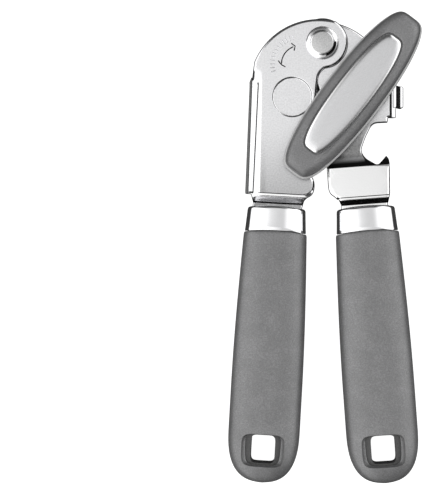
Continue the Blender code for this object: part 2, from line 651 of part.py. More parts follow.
def place_on_ground(root):
    """Moves everything so that the middle of the underside of the opener's box is the origin."""
    bpy.context.view_layer.update()
    graph = bpy.context.evaluated_depsgraph_get()
    points = []
    for obj in bpy.data.objects:
        if obj.type == "MESH" and not obj.hide_render:
            mesh = obj.evaluated_get(graph).to_mesh()
            points += [obj.matrix_world @ vert.co for vert in mesh.vertices]
            obj.evaluated_get(graph).to_mesh_clear()
    low = [min(point[i] for point in points) for i in range(3)]
    high = [max(point[i] for point in points) for i in range(3)]
    root.location = (-(low[0] + high[0]) / 2, -(low[1] + high[1]) / 2, -low[2])
    bpy.context.view_layer.update()


def main():
    clear_scene()
    plate_steel = material("brushed_plate", (0.72, 0.72, 0.73), 0.3, 1.0)
    chrome = material("polished_chrome", (0.85, 0.85, 0.86), 0.08, 1.0)
    gear_steel = material("machined_steel", (0.5, 0.5, 0.52), 0.35, 1.0)
    blade_steel = material("hardened_steel", (0.6, 0.6, 0.62), 0.2, 1.0)
    soft_grey = material("soft_touch_grey", (0.2, 0.2, 0.21), 0.75, 0.0)
    hard_grey = material("hard_plastic_dark", (0.08, 0.08, 0.085), 0.5, 0.0)
    shell_grey = material("hard_plastic_light", (0.32, 0.32, 0.33), 0.45, 0.0)
    insert = material("satin_trim", (0.8, 0.8, 0.81), 0.25, 1.0)

    root = empty("opener")
    cutter_arm = empty("cutter_arm", root)
    drive_arm = empty("drive_arm", root)
    cutter = empty("cutter", cutter_arm, (-AXLE_X, AXLE_Y, 0))
    drive = empty("drive_train", drive_arm, (AXLE_X, AXLE_Y, 0))

    make_front_plate(cutter_arm, plate_steel)
    make_hinge(cutter_arm, chrome)
    make_cutter_mount(cutter_arm, gear_steel)
    make_handle("left", LEFT_HANDLE, cutter_arm, chrome, hard_grey, soft_grey)
    make_cutter(cutter, gear_steel, blade_steel)
    make_rear_plate(drive_arm, plate_steel)
    make_bushing(drive_arm, gear_steel)
    make_handle("right", RIGHT_HANDLE, drive_arm, chrome, hard_grey, soft_grey)
    make_drive(drive, gear_steel, blade_steel, chrome)
    make_knob(drive, shell_grey, soft_grey, insert, gear_steel)
    place_on_ground(root)


main()
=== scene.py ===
"""Looks of the manual can opener. Lengths are in millimetres and MM turns them into metres.

In the design frame the hinge is at X = 0, Y = 0 and the front of the left plate is at Z = 0.
"""
import json
import math

import bmesh
import bpy
import numpy as np
from mathutils import Matrix, Vector
from mathutils.geometry import delaunay_2d_cdt


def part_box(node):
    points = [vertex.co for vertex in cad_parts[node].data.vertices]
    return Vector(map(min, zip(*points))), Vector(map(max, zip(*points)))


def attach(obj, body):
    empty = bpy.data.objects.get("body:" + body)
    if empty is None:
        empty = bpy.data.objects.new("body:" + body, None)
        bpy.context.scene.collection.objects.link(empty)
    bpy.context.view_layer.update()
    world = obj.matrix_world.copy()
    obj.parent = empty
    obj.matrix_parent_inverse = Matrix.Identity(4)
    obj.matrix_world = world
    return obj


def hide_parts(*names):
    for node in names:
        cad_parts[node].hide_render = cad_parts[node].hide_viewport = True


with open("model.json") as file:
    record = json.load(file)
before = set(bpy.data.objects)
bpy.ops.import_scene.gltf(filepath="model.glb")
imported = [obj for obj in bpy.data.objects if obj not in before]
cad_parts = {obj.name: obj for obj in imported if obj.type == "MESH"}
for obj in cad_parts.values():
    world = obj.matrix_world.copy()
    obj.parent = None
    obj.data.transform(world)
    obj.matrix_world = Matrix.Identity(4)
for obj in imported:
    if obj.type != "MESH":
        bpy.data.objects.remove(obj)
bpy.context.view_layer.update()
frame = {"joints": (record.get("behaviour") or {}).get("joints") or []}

MM = 0.001
JOINTS = {joint["name"]: Vector(joint["pos_m"]) / MM for joint in frame["joints"]}
HINGE = JOINTS["handle_pivot"]
CUTTER_AXLE = JOINTS["cutter_spin"] - HINGE
SHAFT_AXLE = JOINTS["knob_spin"] - HINGE
FRONT_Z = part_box("cutter_arm_plate")[1].z / MM

# Sheet steel arms.
PLATE = 1.5
REAR_PLATE_Z = -1.8
HEAD_CENTRE = (-1.8, -20.1)
HEAD_RADIUS = 30.9
REAR_HEAD_CENTRE = (-1.3, -20.8)
REAR_HEAD_RADIUS = 30.8
LOBE_RADIUS = 11.4
HINGE_HOLE = 3.8
SLEEVE_HOLE = 5.3
BUTTON_RADIUS = 8.7
BUTTON_RELIEF = 12.0
TANG_HALF = 7.0
TANG_END = 26.0
TANG_SHOULDER = -10.4
TANG_SHOULDER_HALF = 11.0
GROOVE_HALF = 0.26

# Where the necks bend, down the handles from the tops of the grips.
LEFT_NECK = -17.9
LEFT_LEDGE = 1.3
LEFT_LEDGE_GAP = 0.25
LEFT_CORNER_X = -4.35
LEFT_CORNER_RADIUS = 4.5
RIGHT_NECK_TOP = -36.0
RIGHT_NECK = -16.5
RIGHT_LEDGE = 1.0

# Bends of the sheet: angle and radius.
FLANGE_BEND = (math.radians(33), 1.6)
CREASE_BEND = (math.radians(33), 0.5)
LIP_BEND = (math.radians(70), 0.35)
GUARD_LEAN = (math.radians(17), 0.4)

# Steps of the sheet: drop, slope, and the radius of one or both bends.
LEFT_EDGE = (0.75, math.radians(62), 0.16)
LEFT_NECK_STEP = (0.4, math.radians(62), 0.12)
LEFT_NECK_DROP = (3.85, math.radians(53), 0.7)
CREASE = (1.1, math.radians(66), 0.1)
RIGHT_RISE = (-REAR_PLATE_Z, math.radians(28), 12.0, 0.4)
RIGHT_NECK_STEP = (0.6, math.radians(62), 0.1)
RIGHT_NECK_DROP = (4.4, math.radians(64), 0.6)
GUARD_WALL = (2.8, math.radians(68), 0.3)
GUARD_GROOVE = (0.7, math.radians(66), 0.15)
GUARD_EDGE = (4.6, math.radians(66), 0.4)
GUARD_WALL_X = 29.6
GUARD_LEAN_X = 30.9
GUARD_GROOVE_X = 31.3
GUARD_EDGE_X = 32.7
CREASE_LEAD = 0.25
LIP_SLOPE = 0.036

# Distance from an edge, and how far the front lies below the sheet there.
RIM = ((1.3, 0.0), (0.95, -0.06), (0.45, -0.38), (0.28, -0.55), (0.12, -0.85), (0.0, -1.2))
HOLE_RIM = ((0.0, -0.5), (0.12, -0.25), (0.3, -0.06), (0.55, 0.0))
BUTTON_RIM = ((-0.35, -1.2), (-0.1, -1.05), (0.1, -0.2), (0.2, -0.08), (0.45, 0.0))

# Handles: X and Y of the top of the grip, and the tilt of the handle from the Y axis.
LEFT_HANDLE = (-21.0, -84.4, math.radians(-3.25))
RIGHT_HANDLE = (20.1, -84.4, math.radians(4.17))
HANDLE_Z = -5.75
GRIP_LENGTH = 111.6
GRIP_TOP_HALF = 14.1
GRIP_SWELL = 1.9
GRIP_SWELL_LENGTH = 70.0
GRIP_END_START = 88.0
GRIP_DEPTH_END_START = 96.0
GRIP_END_POWER = 2.6
GRIP_HALF_DEPTH = 9.0
GRIP_BACK = 8.6
GRIP_WALL = 2.6
CORE_END = 106.7
CORE_TOP = 8.4
FERRULE_HEIGHT = 12.2
GRIP_ARCH = 0.9
HANG_HOLE_AT = 96.4
HANG_HOLE_HALF = (5.4, 6.3)
HANG_DISH_HALF = (9.4, 7.2)

# Knob.
KNOB_ANGLE = math.radians(52.5)
KNOB_HALF_LENGTH = 43.2
KNOB_HALF_WIDTH = 13.1
KNOB_POWER = 4.5
KNOB_BOW = 0.29
KNOB_BASE_Z = 3.5
KNOB_SPLIT_Z = 6.6
KNOB_TOP_Z = 14.9
INSERT_HALF_LENGTH = 30.6
INSERT_HALF_WIDTH = 7.65
INSERT_FLOOR_Z = 13.3

# Wheels.
GEAR_TEETH = 14
PITCH_RADIUS = 12.18
PRESSURE_ANGLE = math.radians(20)
GEAR_BACKLASH = 0.4
GEAR_Z = (-3.9, -6.4)
FEED_Z = (-6.7, -9.2)
FEED_TEETH = 28
FEED_RADIUS = 11.2
CUTTER_Z = (-9.5, -11.0)
CUTTER_RADIUS = 13.6
STUD_END = -11.1
BACK_Z = -14.35
BORE = 3.3
SHAFT = (4.0, 3.0)
SHAFT_BORE = (4.3, 3.3)
# Least radius of a piece that is solid at its axis.
AXIS = 0.02

# The dark gap between two softboxes, one at each side, as seen by the steel.
GAP_TURN = math.radians(20)
GAP_SHIFT = 0.12
GAP_SPREAD = 0.5
GAP_EDGE = (-0.02, 0.30)
OVERHEAD_EDGE = (0.82, 0.97)
HORIZON = (-0.10, 0.12)
GAP_LIGHT = 0.68
GAP_DARK = 0.03
BOX_LIGHT = 1.35
UNDER_LIGHT = 0.05
LAMP_POWER = 2.5

# Noise of the finishes: scale, detail and roughness.
STEEL_GRAIN = (1500, 4, 0.7)
PLASTIC_GRAIN = (1400, 3, 0.6)

# Camera.
EYE = (0.0, -92.0, 800.0)
AIM = (-49.3, -92.0, 0.0)
FIELD_HEIGHT = 223.0
SENSOR = 36.0


# ---- outlines and meshes ----

def arc(centre, radius, start, end, steps):
    angles = [math.radians(start + (end - start) * i / steps) for i in range(steps + 1)]
    return [(centre[0] + radius * math.cos(a), centre[1] + radius * math.sin(a)) for a in angles]


def rounded(corners, steps=8, closed=True):
    """Points through corners (x, y, radius), each corner cut by a curve that starts radius away."""
    outline = []
    for i, (x, y, radius) in enumerate(corners):
        here = Vector((x, y))
        ends = not closed and i in (0, len(corners) - 1)
        if radius == 0 or ends:
            outline.append((x, y))
            continue
        before = Vector(corners[i - 1][:2])
        after = Vector(corners[(i + 1) % len(corners)][:2])
        start = here + (before - here).normalized() * radius
        end = here + (after - here).normalized() * radius
        for j in range(steps + 1):
            t = j / steps
            point = start * (1 - t) ** 2 + here * (2 * t * (1 - t)) + end * t**2
            outline.append((point.x, point.y))
    return outline


def resample(outline, spacing):
    """Splits long segments of a closed outline and drops points that lie on each other."""
    dense = []
    for i, (x, y) in enumerate(outline):
        x0, y0 = outline[i - 1]
        length = math.hypot(x - x0, y - y0)
        if length < 0.02:
            continue
        parts = max(1, math.ceil(length / spacing))
        dense += [(x0 + (x - x0) * j / parts, y0 + (y - y0) * j / parts) for j in range(1, parts + 1)]
    return dense


def inset(outline, amount, share):
    """Moves a counter-clockwise outline inwards, by less where share(x, y) is under 1."""
    moved = []
    count = len(outline)
    for i, (x, y) in enumerate(outline):
        before = Vector((x, y)) - Vector(outline[i - 1])
        after = Vector(outline[(i + 1) % count]) - Vector((x, y))
        left = before.orthogonal().normalized() + after.orthogonal().normalized()
        if left.length < 1e-6:
            left = before.orthogonal()
        left = left.normalized()
        stretch = 1 / max(0.6, left.dot(before.orthogonal().normalized()))
        reach = amount * share(x, y) * stretch
        moved.append((x + left.x * reach, y + left.y * reach))
    return moved


def loft(rings, closed=False):
    bm = bmesh.new()
    rows = [[bm.verts.new(point) for point in ring] for ring in rings]
    pairs = list(zip(rows, rows[1:]))
    if closed:
        pairs.append((rows[-1], rows[0]))
    else:
        bm.faces.new(rows[0])
        bm.faces.new(rows[-1])
    for low, high in pairs:
        for i in range(len(low)):
            j = (i + 1) % len(low)
            bm.faces.new((low[i], low[j], high[j], high[i]))
    return bm


def oval(half_x, half_y, z, power=2.0, steps=72):
    ring = []
    for i in range(steps):
        c = math.cos(math.tau * i / steps)
        s = math.sin(math.tau * i / steps)
        x = half_x * math.copysign(abs(c) ** (2 / power), c)
        y = half_y * math.copysign(abs(s) ** (2 / power), s)
        ring.append((x, y, z))
    return ring


def flatted(radius, flat, z, steps=72):
    return [(x, max(-flat, min(flat, y)), z) for x, y, z in oval(radius, radius, z, 2.0, steps)]


def turned(corners, closed=False, steps=72):
    """A round piece about Z from its (radius, z, corner radius) profile."""
    profile = rounded(corners, steps=3, closed=closed)
    return loft([oval(radius, radius, z, 2.0, steps) for radius, z in profile], closed)


def fold(distance, angle, radius):
    """How far a sheet has dropped at a distance past the start of a bend of that angle."""
    if distance <= 0:
        return 0.0
    reach = radius * math.sin(angle)
    if distance < reach:
        return radius - math.sqrt(radius**2 - distance**2)
    return radius * (1 - math.cos(angle)) + (distance - reach) * math.tan(angle)


def step(distance, drop, angle, radius, end_radius=None):
    """A drop to a parallel level: a bend down, and a bend back when the drop is complete."""
    back = distance - (drop - radius * (1 - math.cos(angle))) / math.tan(angle) - radius * math.sin(angle)
    end_radius = end_radius or radius
    back += end_radius * math.tan(angle / 2)
    return fold(distance, angle, radius) - fold(back, angle, end_radius)


def fold_cuts(angle, radius, parts=6):
    return [radius * math.sin(angle * i / parts) for i in range(parts + 1)]


def step_cuts(drop, angle, radius, end_radius=None, parts=6):
    end_radius = end_radius or radius
    start = (drop - radius * (1 - math.cos(angle))) / math.tan(angle) + radius * math.sin(angle)
    start -= end_radius * math.tan(angle / 2)
    return fold_cuts(angle, radius, parts) + [start + d for d in fold_cuts(angle, end_radius, parts)]


def ease(value):
    value = max(0.0, min(1.0, value))
    return value * value * (3 - 2 * value)


def distance_to(paths, x, y):
    """Distance of points from the nearest of some paths, each a list of (x, y)."""
    least = np.full(len(x), 1e9)
    for path in paths:
        for (ax, ay), (bx, by) in zip(path, path[1:]):
            length = (bx - ax) ** 2 + (by - ay) ** 2
            along = np.clip(((x - ax) * (bx - ax) + (y - ay) * (by - ay)) / max(length, 1e-9), 0, 1)
            least = np.minimum(least, np.hypot(x - ax - along * (bx - ax), y - ay - along * (by - ay)))
    return least


def inside(outline, x, y):
    within = np.zeros(len(x), bool)
    for (ax, ay), (bx, by) in zip(outline, outline[1:] + outline[:1]):
        if ay != by:
            crosses = (ay > y) != (by > y)
            within ^= crosses & (x < ax + (y - ay) * (bx - ax) / (by - ay))
    return within


def beside(path, offset):
    """An open path moved sideways."""
    moved = []
    for i, (x, y) in enumerate(path):
        before = path[max(0, i - 1)]
        after = path[min(len(path) - 1, i + 1)]
        across = Vector((before[1] - after[1], after[0] - before[0])).normalized() * offset
        moved.append((x + across.x, y + across.y))
    return moved


def stroke(path, half):
    """A closed outline round an open path."""
    first = (Vector(path[0]) - Vector(path[1])).normalized() * half + Vector(path[0])
    last = (Vector(path[-1]) - Vector(path[-2])).normalized() * half + Vector(path[-1])
    longer = [tuple(first), *path, tuple(last)]
    return beside(longer, half) + beside(longer, -half)[::-1]


def sheet(outline, share, holes, curves, height, grooves=(), pressed=None):
    """Sheet metal with a rolled rim, from its flat outline, round holes, and the curves where it bends.

    height gives the level of its middle and pressed a drop of both faces. grooves cut the front only, each a
    path and a depth.
    """
    ring = resample(outline, 0.9)
    rings = [ring] + [inset(ring, amount, share) for amount, _ in RIM[:-1]]
    for (x, y), radius in holes:
        rings += [arc((x, y), radius + grow, 0, 360, 72)[:72] for grow, _ in HOLE_RIM]
    rings += [stroke(path, GROOVE_HALF) for path, _ in grooves]
    lines = [*curves, *(path for path, _ in grooves)]
    points = []
    edges = []
    for path, closed in [(path, True) for path in rings] + [(path, False) for path in lines]:
        first = len(points)
        points += [Vector(point) for point in path]
        edges += [(first + i, first + i + 1) for i in range(len(path) - 1)]
        if closed:
            edges.append((len(points) - 1, first))
    flat, _, faces, _, _, _ = delaunay_2d_cdt(points, edges, [], 0, 0.0004, False)
    flat = np.array([(point.x, point.y) for point in flat])
    middles = np.array([flat[face].mean(axis=0) for face in map(list, faces)])
    keep = inside(ring, middles[:, 0], middles[:, 1])
    for (x, y), radius in holes:
        keep &= np.hypot(middles[:, 0] - x, middles[:, 1] - y) > radius - 0.02
    x, y = flat[:, 0], flat[:, 1]
    from_edge = distance_to([ring + ring[:1]], x, y)
    inset_by = np.array([amount for amount, _ in reversed(RIM)])
    sunk = np.array([depth for _, depth in reversed(RIM)])
    shares = np.array([share(*point) for point in flat])
    detail = np.interp(from_edge / shares, inset_by, sunk) * np.minimum(1, shares * 1.6)
    for (hx, hy), radius in holes:
        detail += np.interp(np.hypot(x - hx, y - hy) - radius, *zip(*HOLE_RIM))
    for cut in sorted({depth for _, depth in grooves}):
        near = distance_to([path for path, depth in grooves if depth == cut], x, y)
        detail -= cut * np.clip(1 - near / GROOVE_HALF, 0, 1)
    bm = bmesh.new()
    front = []
    back = []
    reach = 0.02
    for (px, py), deep in zip(flat.tolist(), detail.tolist()):
        slope_x = (height(px + reach, py) - height(px - reach, py)) / (2 * reach)
        slope_y = (height(px, py + reach) - height(px, py - reach)) / (2 * reach)
        level = height(px, py)
        drop = pressed(px, py) if pressed else 0.0
        behind = Vector((-slope_x, -slope_y, 1)).normalized() * -PLATE
        front.append((px, py, level + drop + deep))
        back.append((px + behind.x, py + behind.y, level + drop + behind.z))
    made = {}

    def vert(side, index):
        if (side, index) not in made:
            made[side, index] = bm.verts.new((front, back)[side][index])
        return made[side, index]

    rim = {}
    for face in (list(face) for face, kept in zip(faces, keep) if kept):
        bm.faces.new([vert(0, i) for i in face])
        bm.faces.new([vert(1, i) for i in reversed(face)])
        for a, b in zip(face, face[1:] + face[:1]):
            if rim.pop((b, a), None) is None:
                rim[a, b] = True
    for a, b in rim:
        bm.faces.new((vert(0, b), vert(0, a), vert(1, a), vert(1, b)))
    return bm


# ---- making pieces ----

def add_object(name, data):
    obj = bpy.data.objects.new(name, data)
    bpy.context.scene.collection.objects.link(obj)
    return obj


def mesh_of(name, bm):
    mesh = bpy.data.meshes.new(name)
    bm.to_mesh(mesh)
    bm.free()
    return mesh


def solid(name, bm, at, turn):
    """An object whose mesh, in millimetres, is turned about Z and moved in the hinge's frame."""
    bmesh.ops.recalc_face_normals(bm, faces=bm.faces)
    bm.transform(Matrix.Scale(MM, 4) @ Matrix.Translation(at) @ Matrix.Rotation(turn, 4, "Z"))
    obj = add_object(name, mesh_of(name, bm))
    obj.location = HINGE.x * MM, HINGE.y * MM, FRONT_Z * MM
    return obj


def smooth_faces(obj, sharp):
    """Smooth shading, except where faces meet at more than an angle."""
    obj.data.shade_smooth()
    obj.data.set_sharp_from_angle(angle=math.radians(sharp))


def piece(name, bm, look, body, node, slot, at=(0, 0, 0), turn=0.0, sharp=35.0):
    obj = solid(name, bm, at, turn)
    smooth_faces(obj, sharp)
    obj.data.materials.append(look)
    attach(obj, body)
    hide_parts(node)
    return obj


def cut_with(obj, bm, at, turn=0.0):
    """Cuts a piece with a helper mesh, then drops the helper."""
    tool = solid("tool", bm, at, turn)
    boolean = obj.modifiers.new("cut", "BOOLEAN")
    boolean.operation = "DIFFERENCE"
    boolean.solver = "EXACT"
    boolean.object = tool
    bpy.context.view_layer.update()
    graph = bpy.context.evaluated_depsgraph_get()
    mesh = bpy.data.meshes.new_from_object(obj.evaluated_get(graph))
    obj.modifiers.clear()
    obj.data = mesh
    bpy.data.objects.remove(tool, do_unlink=True)


def turned_piece(name, corners, *where, closed=False, steps=72):
    return piece(name, turned(corners, closed, steps), *where)


def weigh_normals(obj):
    """Keeps flat faces flat where they meet a bend."""
    modifier = obj.modifiers.new("flat_faces", "WEIGHTED_NORMAL")
    modifier.keep_sharp = True
    modifier.weight = 100


def soften(obj, width, segments=2):
    bevel = obj.modifiers.new("soft_edges", "BEVEL")
    bevel.width = width * MM
    bevel.segments = segments
    bevel.limit_method = "ANGLE"
    bevel.angle_limit = math.radians(40)
    bevel.harden_normals = True


# ---- materials ----

class Nodes:
    """Short calls for building the nodes of a material or of the world."""

    def __init__(self, owner):
        owner.use_nodes = True
        self.owner = owner
        self.tree = owner.node_tree
        coords = self.tree.nodes.new("ShaderNodeTexCoord").outputs
        self.place, self.normal, self.direction = coords["Object"], coords["Normal"], coords["Generated"]

    def link(self, value, socket):
        if isinstance(value, bpy.types.NodeSocket):
            self.tree.links.new(value, socket)
        else:
            socket.default_value = value

    def add(self, kind, output, inputs, **settings):
        """An output of a new node, from its settings and the values or sockets that go into it."""
        node = self.tree.nodes.new("ShaderNode" + kind)
        for name, value in settings.items():
            setattr(node, name, value)
        for name, value in inputs.items():
            self.link(value, node.inputs[name])
        return node.outputs[output]

    def noise(self, scale, detail=2.0, rough=0.5):
        inputs = {"Vector": self.place, "Scale": scale, "Detail": detail, "Roughness": rough}
        return self.add("TexNoise", "Fac", inputs)

    def ramp(self, value, *stops):
        """Colours between stops, each a position and a grey or a colour."""
        node = self.tree.nodes.new("ShaderNodeValToRGB")
        while len(node.color_ramp.elements) < len(stops):
            node.color_ramp.elements.new(0.5)
        for element, (position, colour) in zip(node.color_ramp.elements, stops):
            element.position = position
            element.color = (*colour, 1) if isinstance(colour, tuple) else (colour, colour, colour, 1)
        self.link(value, node.inputs["Fac"])
        return node.outputs["Color"]

    def math(self, operation, *values):
        return self.add("Math", "Value", dict(enumerate(values)), operation=operation)

    def times(self, *values):
        product = values[0]
        for value in values[1:]:
            product = self.math("MULTIPLY", product, value)
        return product

    def plus(self, a, b):
        return self.math("ADD", a, b)

    def minus(self, a, b):
        return self.math("SUBTRACT", a, b)

    def larger(self, a, b):
        return self.math("MAXIMUM", a, b)

    def part(self, vector, name):
        """X, Y or Z of a vector."""
        return self.add("SeparateXYZ", name, {"Vector": vector})

    def axis(self, name):
        return self.part(self.place, name)

    def normal_axis(self, name):
        return self.part(self.normal, name)

    def smooth(self, value, start, end):
        inputs = {"Value": value, "From Min": start, "From Max": end}
        return self.add("MapRange", "Result", inputs, interpolation_type="SMOOTHSTEP")

    def past(self, length, start, end):
        """0 to 1 as a length goes from start to end, in millimetres."""
        return self.smooth(length, start * MM, end * MM)

    def mix(self, share, first, second):
        """From the first colour to the second, which may be a grey."""
        if isinstance(second, (int, float)):
            second = (second, second, second, 1)
        return self.add("Mix", "Result", {"Factor": share, "A": first, "B": second}, data_type="RGBA")

    def bump(self, value, strength, distance):
        inputs = {"Strength": strength, "Distance": distance * MM, "Height": value}
        self.set(Normal=self.add("Bump", "Normal", inputs))

    def set(self, **values):
        for name, value in values.items():
            self.link(value, self.tree.nodes["Principled BSDF"].inputs[name.replace("_", " ")])
        return self.owner


def new_look(name):
    return Nodes(bpy.data.materials.new(name))


def satin_steel(name, shade_from, shade_to, polish_below, fold_at):
    """Fine satin on flat faces, polished where the sheet bends.

    Painted shade darkens the flat faces between two values of Y and beside a fold at X, and the steel is
    polished below a value of Y.
    """
    n = new_look(name)
    grain = n.noise(*STEEL_GRAIN)
    cloud = n.noise(60)
    polished = n.past(n.axis("Y"), polish_below, polish_below - 0.6)
    flat = n.ramp(n.normal_axis("Z"), (0.965, 0.1), (0.995, 0.27))
    rough = n.times(n.plus(flat, n.times(cloud, 0.06)), n.minus(1.0, n.times(polished, 0.75)))
    # Painted shade: flat faces are coloured darker between two values of Y and beside the fold.
    low = n.past(n.axis("Y"), shade_from, shade_to)
    shade_beside_fold = n.times(n.past(n.axis("X"), fold_at + 5, fold_at), n.times(low, 1.3))
    level = n.ramp(n.normal_axis("Z"), (0.97, 0.0), (0.99, 1.0))
    dark = n.times(n.larger(low, shade_beside_fold), n.times(n.minus(1.0, polished), level))
    bright = n.ramp(grain, (0.3, (0.72, 0.72, 0.73)), (0.7, (0.93, 0.93, 0.94)))
    # The dark grey of the painted shade.
    shade_grey = n.ramp(grain, (0.3, 0.18), (0.7, 0.36))
    shade = n.mix(polished, n.mix(dark, bright, shade_grey), 0.96)
    n.bump(grain, 0.12, 0.2)
    return n, shade, rough


def steep(n):
    """1 where the sheet is folded steeply, as on cut edges and the walls of steps. It masks where black
    shade is painted.
    """
    upright = n.normal_axis("Z")
    return n.times(n.smooth(upright, 0.56, 0.48), n.smooth(upright, 0.1, 0.2))


def darkened(n, share, shade, rough, metallic=1.0):
    """The steel with rough black painted as shade on its shadowed walls."""
    return n.set(Base_Color=n.mix(share, shade, 0.012), Roughness=n.plus(rough, n.times(share, 0.5)),
                 Metallic=metallic)


def left_steel():
    """Painted shade: the lip of the flange is non-metallic grey with a black edge. Painted highlight: the
    tread above the neck is white.
    """
    n, shade, rough = satin_steel("left_satin_steel", -30, -95, -900, -26.2)
    across = n.minus(n.axis("X"), n.times(n.axis("Y"), LIP_SLOPE))
    beside_neck = n.times(n.past(n.axis("Y"), -16.2, -16.6), n.past(n.axis("Y"), -67.2, -66.8))
    # Painted shade on the lip, and black painted shade on its edge.
    lip = n.times(n.past(across, -30.8, -31.0), beside_neck)
    lip_edge_shade = n.times(n.past(across, -30.5, -30.7), n.past(across, -31.1, -30.9), beside_neck)
    x, y, tilt = LEFT_HANDLE
    down = n.minus(n.times(n.axis("X"), math.sin(tilt)), n.times(n.axis("Y"), math.cos(tilt)))
    down = n.minus(down, (x * math.sin(tilt) - y * math.cos(tilt)) * MM)
    # Painted highlight: the narrow tread is coloured white.
    tread = n.times(n.past(down, -17.6, -17.4), n.past(down, -16.2, -16.5))
    shade = n.mix(lip, n.mix(tread, shade, 1), 0.2)
    plain = n.minus(1.0, lip)
    return darkened(n, n.larger(n.times(steep(n), plain), lip_edge_shade), shade, rough, plain)


def right_steel():
    """The walls of the can guard, the rise above the neck and the drop below it are painted black as shade.
    """
    n, shade, rough = satin_steel("right_satin_steel", -30, -47, -54.5, -500)
    # Black painted shade on the guard's walls and, low on the plate, on the rise and the drop.
    guard_wall_shade = n.times(n.smooth(n.normal_axis("X"), 0.5, 0.7), n.past(n.axis("X"), 29.2, 29.6))
    low = n.past(n.axis("Y"), -40, -44)
    rise = n.times(low, n.smooth(n.normal_axis("Y"), 0.1, 0.4))
    drop = n.times(low, n.smooth(n.normal_axis("Y"), -0.6, -0.8))
    return darkened(n, n.larger(n.larger(guard_wall_shade, steep(n)), n.larger(rise, drop)), shade, rough)


def rivet_look():
    """Dull grey disc in a bright ring, with painted shade: black arcs on two sides of the ring."""
    n = new_look("rivet_steel")
    x, y = n.axis("X"), n.axis("Y")
    radius = n.math("POWER", n.plus(n.times(x, x), n.times(y, y)), 0.5)

    def arc_share(angle, reach, inner, outer):
        """1 on part of a ring, by the direction of its middle and the cosine of its half width."""
        angle = math.radians(angle)
        along = n.plus(n.times(x, math.cos(angle)), n.times(y, math.sin(angle)))
        along = n.smooth(n.math("DIVIDE", along, radius), reach, reach + 0.1)
        return n.times(along, n.times(n.past(radius, inner - 0.1, inner + 0.1),
                                      n.past(radius, outer + 0.1, outer - 0.1)))

    # Painted shade: dark arcs on the ring, where its rim is shaded.
    dark = n.larger(arc_share(-35, 0.72, 5.1, 6.3), n.times(arc_share(130, 0.66, 6.7, 7.2), 0.8))
    dark = n.larger(dark, n.times(arc_share(95, 0.5, 5.6, 5.9), 0.6))
    disc = n.past(radius, 5.0, 4.7)
    grey = n.ramp(n.noise(*STEEL_GRAIN), (0.3, 0.52), (0.7, 0.66))
    shade = n.mix(disc, (0.95, 0.95, 0.96, 1), grey)
    return darkened(n, dark, shade, n.plus(n.times(disc, 0.05), 0.22))


def chrome():
    n = new_look("polished_chrome")
    smear = n.noise(90, 3, 0.6)
    return n.set(Base_Color=n.ramp(smear, (0.3, (0.86, 0.86, 0.87)), (0.7, (0.92, 0.92, 0.93))),
                 Metallic=1.0, Roughness=n.ramp(smear, (0.3, 0.05), (0.75, 0.1)))


def machined(name, tone, rough):
    n = new_look(name)
    turning = n.noise(1500, 3, 0.6)
    n.bump(turning, 0.08, 0.2)
    return n.set(Base_Color=n.ramp(turning, (0.3, tone * 0.85), (0.7, (tone, tone, tone * 1.02))),
                 Metallic=1.0, Roughness=n.ramp(turning, (0.3, rough), (0.7, rough + 0.12)))


def soft_touch():
    """Matte grey coat with metal flake: a fine light and dark speckle."""
    n = new_look("soft_touch")
    speckle = n.noise(1700, 4, 0.75)
    tone = n.plus(n.times(speckle, 0.8), n.times(n.noise(120), 0.2))
    n.bump(speckle, 0.3, 0.1)
    return n.set(Base_Color=n.ramp(tone, (0.32, (0.15, 0.15, 0.152)), (0.5, (0.2, 0.2, 0.202)),
                                   (0.7, (0.29, 0.29, 0.292))),
                 Metallic=0.55, Roughness=0.43)


def plastic():
    n = new_look("core_look")
    grain = n.noise(*PLASTIC_GRAIN)
    n.bump(grain, 0.1, 0.1)
    return n.set(Base_Color=n.ramp(grain, (0.35, 0.05), (0.65, 0.075)),
                 Roughness=n.ramp(grain, (0.3, 0.4), (0.7, 0.48)))


def shell_look():
    """Light grey ledge round a side painted near black as shade where it faces sideways and down."""
    n = new_look("shell_look")
    ledge = n.ramp(n.noise(*PLASTIC_GRAIN), (0.35, 0.42), (0.65, 0.5))
    # Painted shade on the side, by the way its faces point.
    side = n.smooth(n.normal_axis("Z"), 0.35, 0.1)
    return n.set(Base_Color=n.mix(side, ledge, 0.04), Roughness=0.4)


def satin_trim():
    """Satin metal with a painted highlight: brighter colour where its edge slopes."""
    n = new_look("satin_trim")
    grain = n.noise(2200, 3, 0.6)
    n.bump(grain, 0.04, 0.1)
    face = n.ramp(grain, (0.3, (0.66, 0.66, 0.67)), (0.7, (0.76, 0.76, 0.77)))
    # Painted highlight on the sloping edge.
    edge = n.smooth(n.normal_axis("Z"), 0.985, 0.93)
    return n.set(Base_Color=n.mix(edge, face, 0.97), Metallic=1.0,
                 Roughness=n.ramp(grain, (0.3, 0.16), (0.7, 0.24)))


# ---- sheet metal arms ----

def handle_point(handle, across, down):
    x, y, tilt = handle
    return (x + across * math.cos(tilt) + down * math.sin(tilt),
            y + across * math.sin(tilt) - down * math.cos(tilt))


def down_handle(handle, x, y):
    """Distance of a point down a handle's axis from the top of the grip."""
    return (x - handle[0]) * math.sin(handle[2]) - (y - handle[1]) * math.cos(handle[2])


def across_lines(handle, downs, left, right):
    """Straight paths across a handle."""
    return [[handle_point(handle, left + (right - left) * i / 12, down) for i in range(13)]
            for down in downs]


def tang(handle, neck_left, neck_right):
    """Corners of the shoulders and of the tongue that goes into a handle, from neck to neck."""
    left = [(TANG_SHOULDER_HALF, TANG_SHOULDER, 1.0), (TANG_HALF, TANG_SHOULDER + 1.8, 1.0),
            (TANG_HALF, TANG_END, 2)]
    return ([(*neck_left, 0)]
            + [(*handle_point(handle, -across, down), radius) for across, down, radius in left]
            + [(*handle_point(handle, across, down), radius) for across, down, radius in reversed(left)]
            + [(*neck_right, 0)])


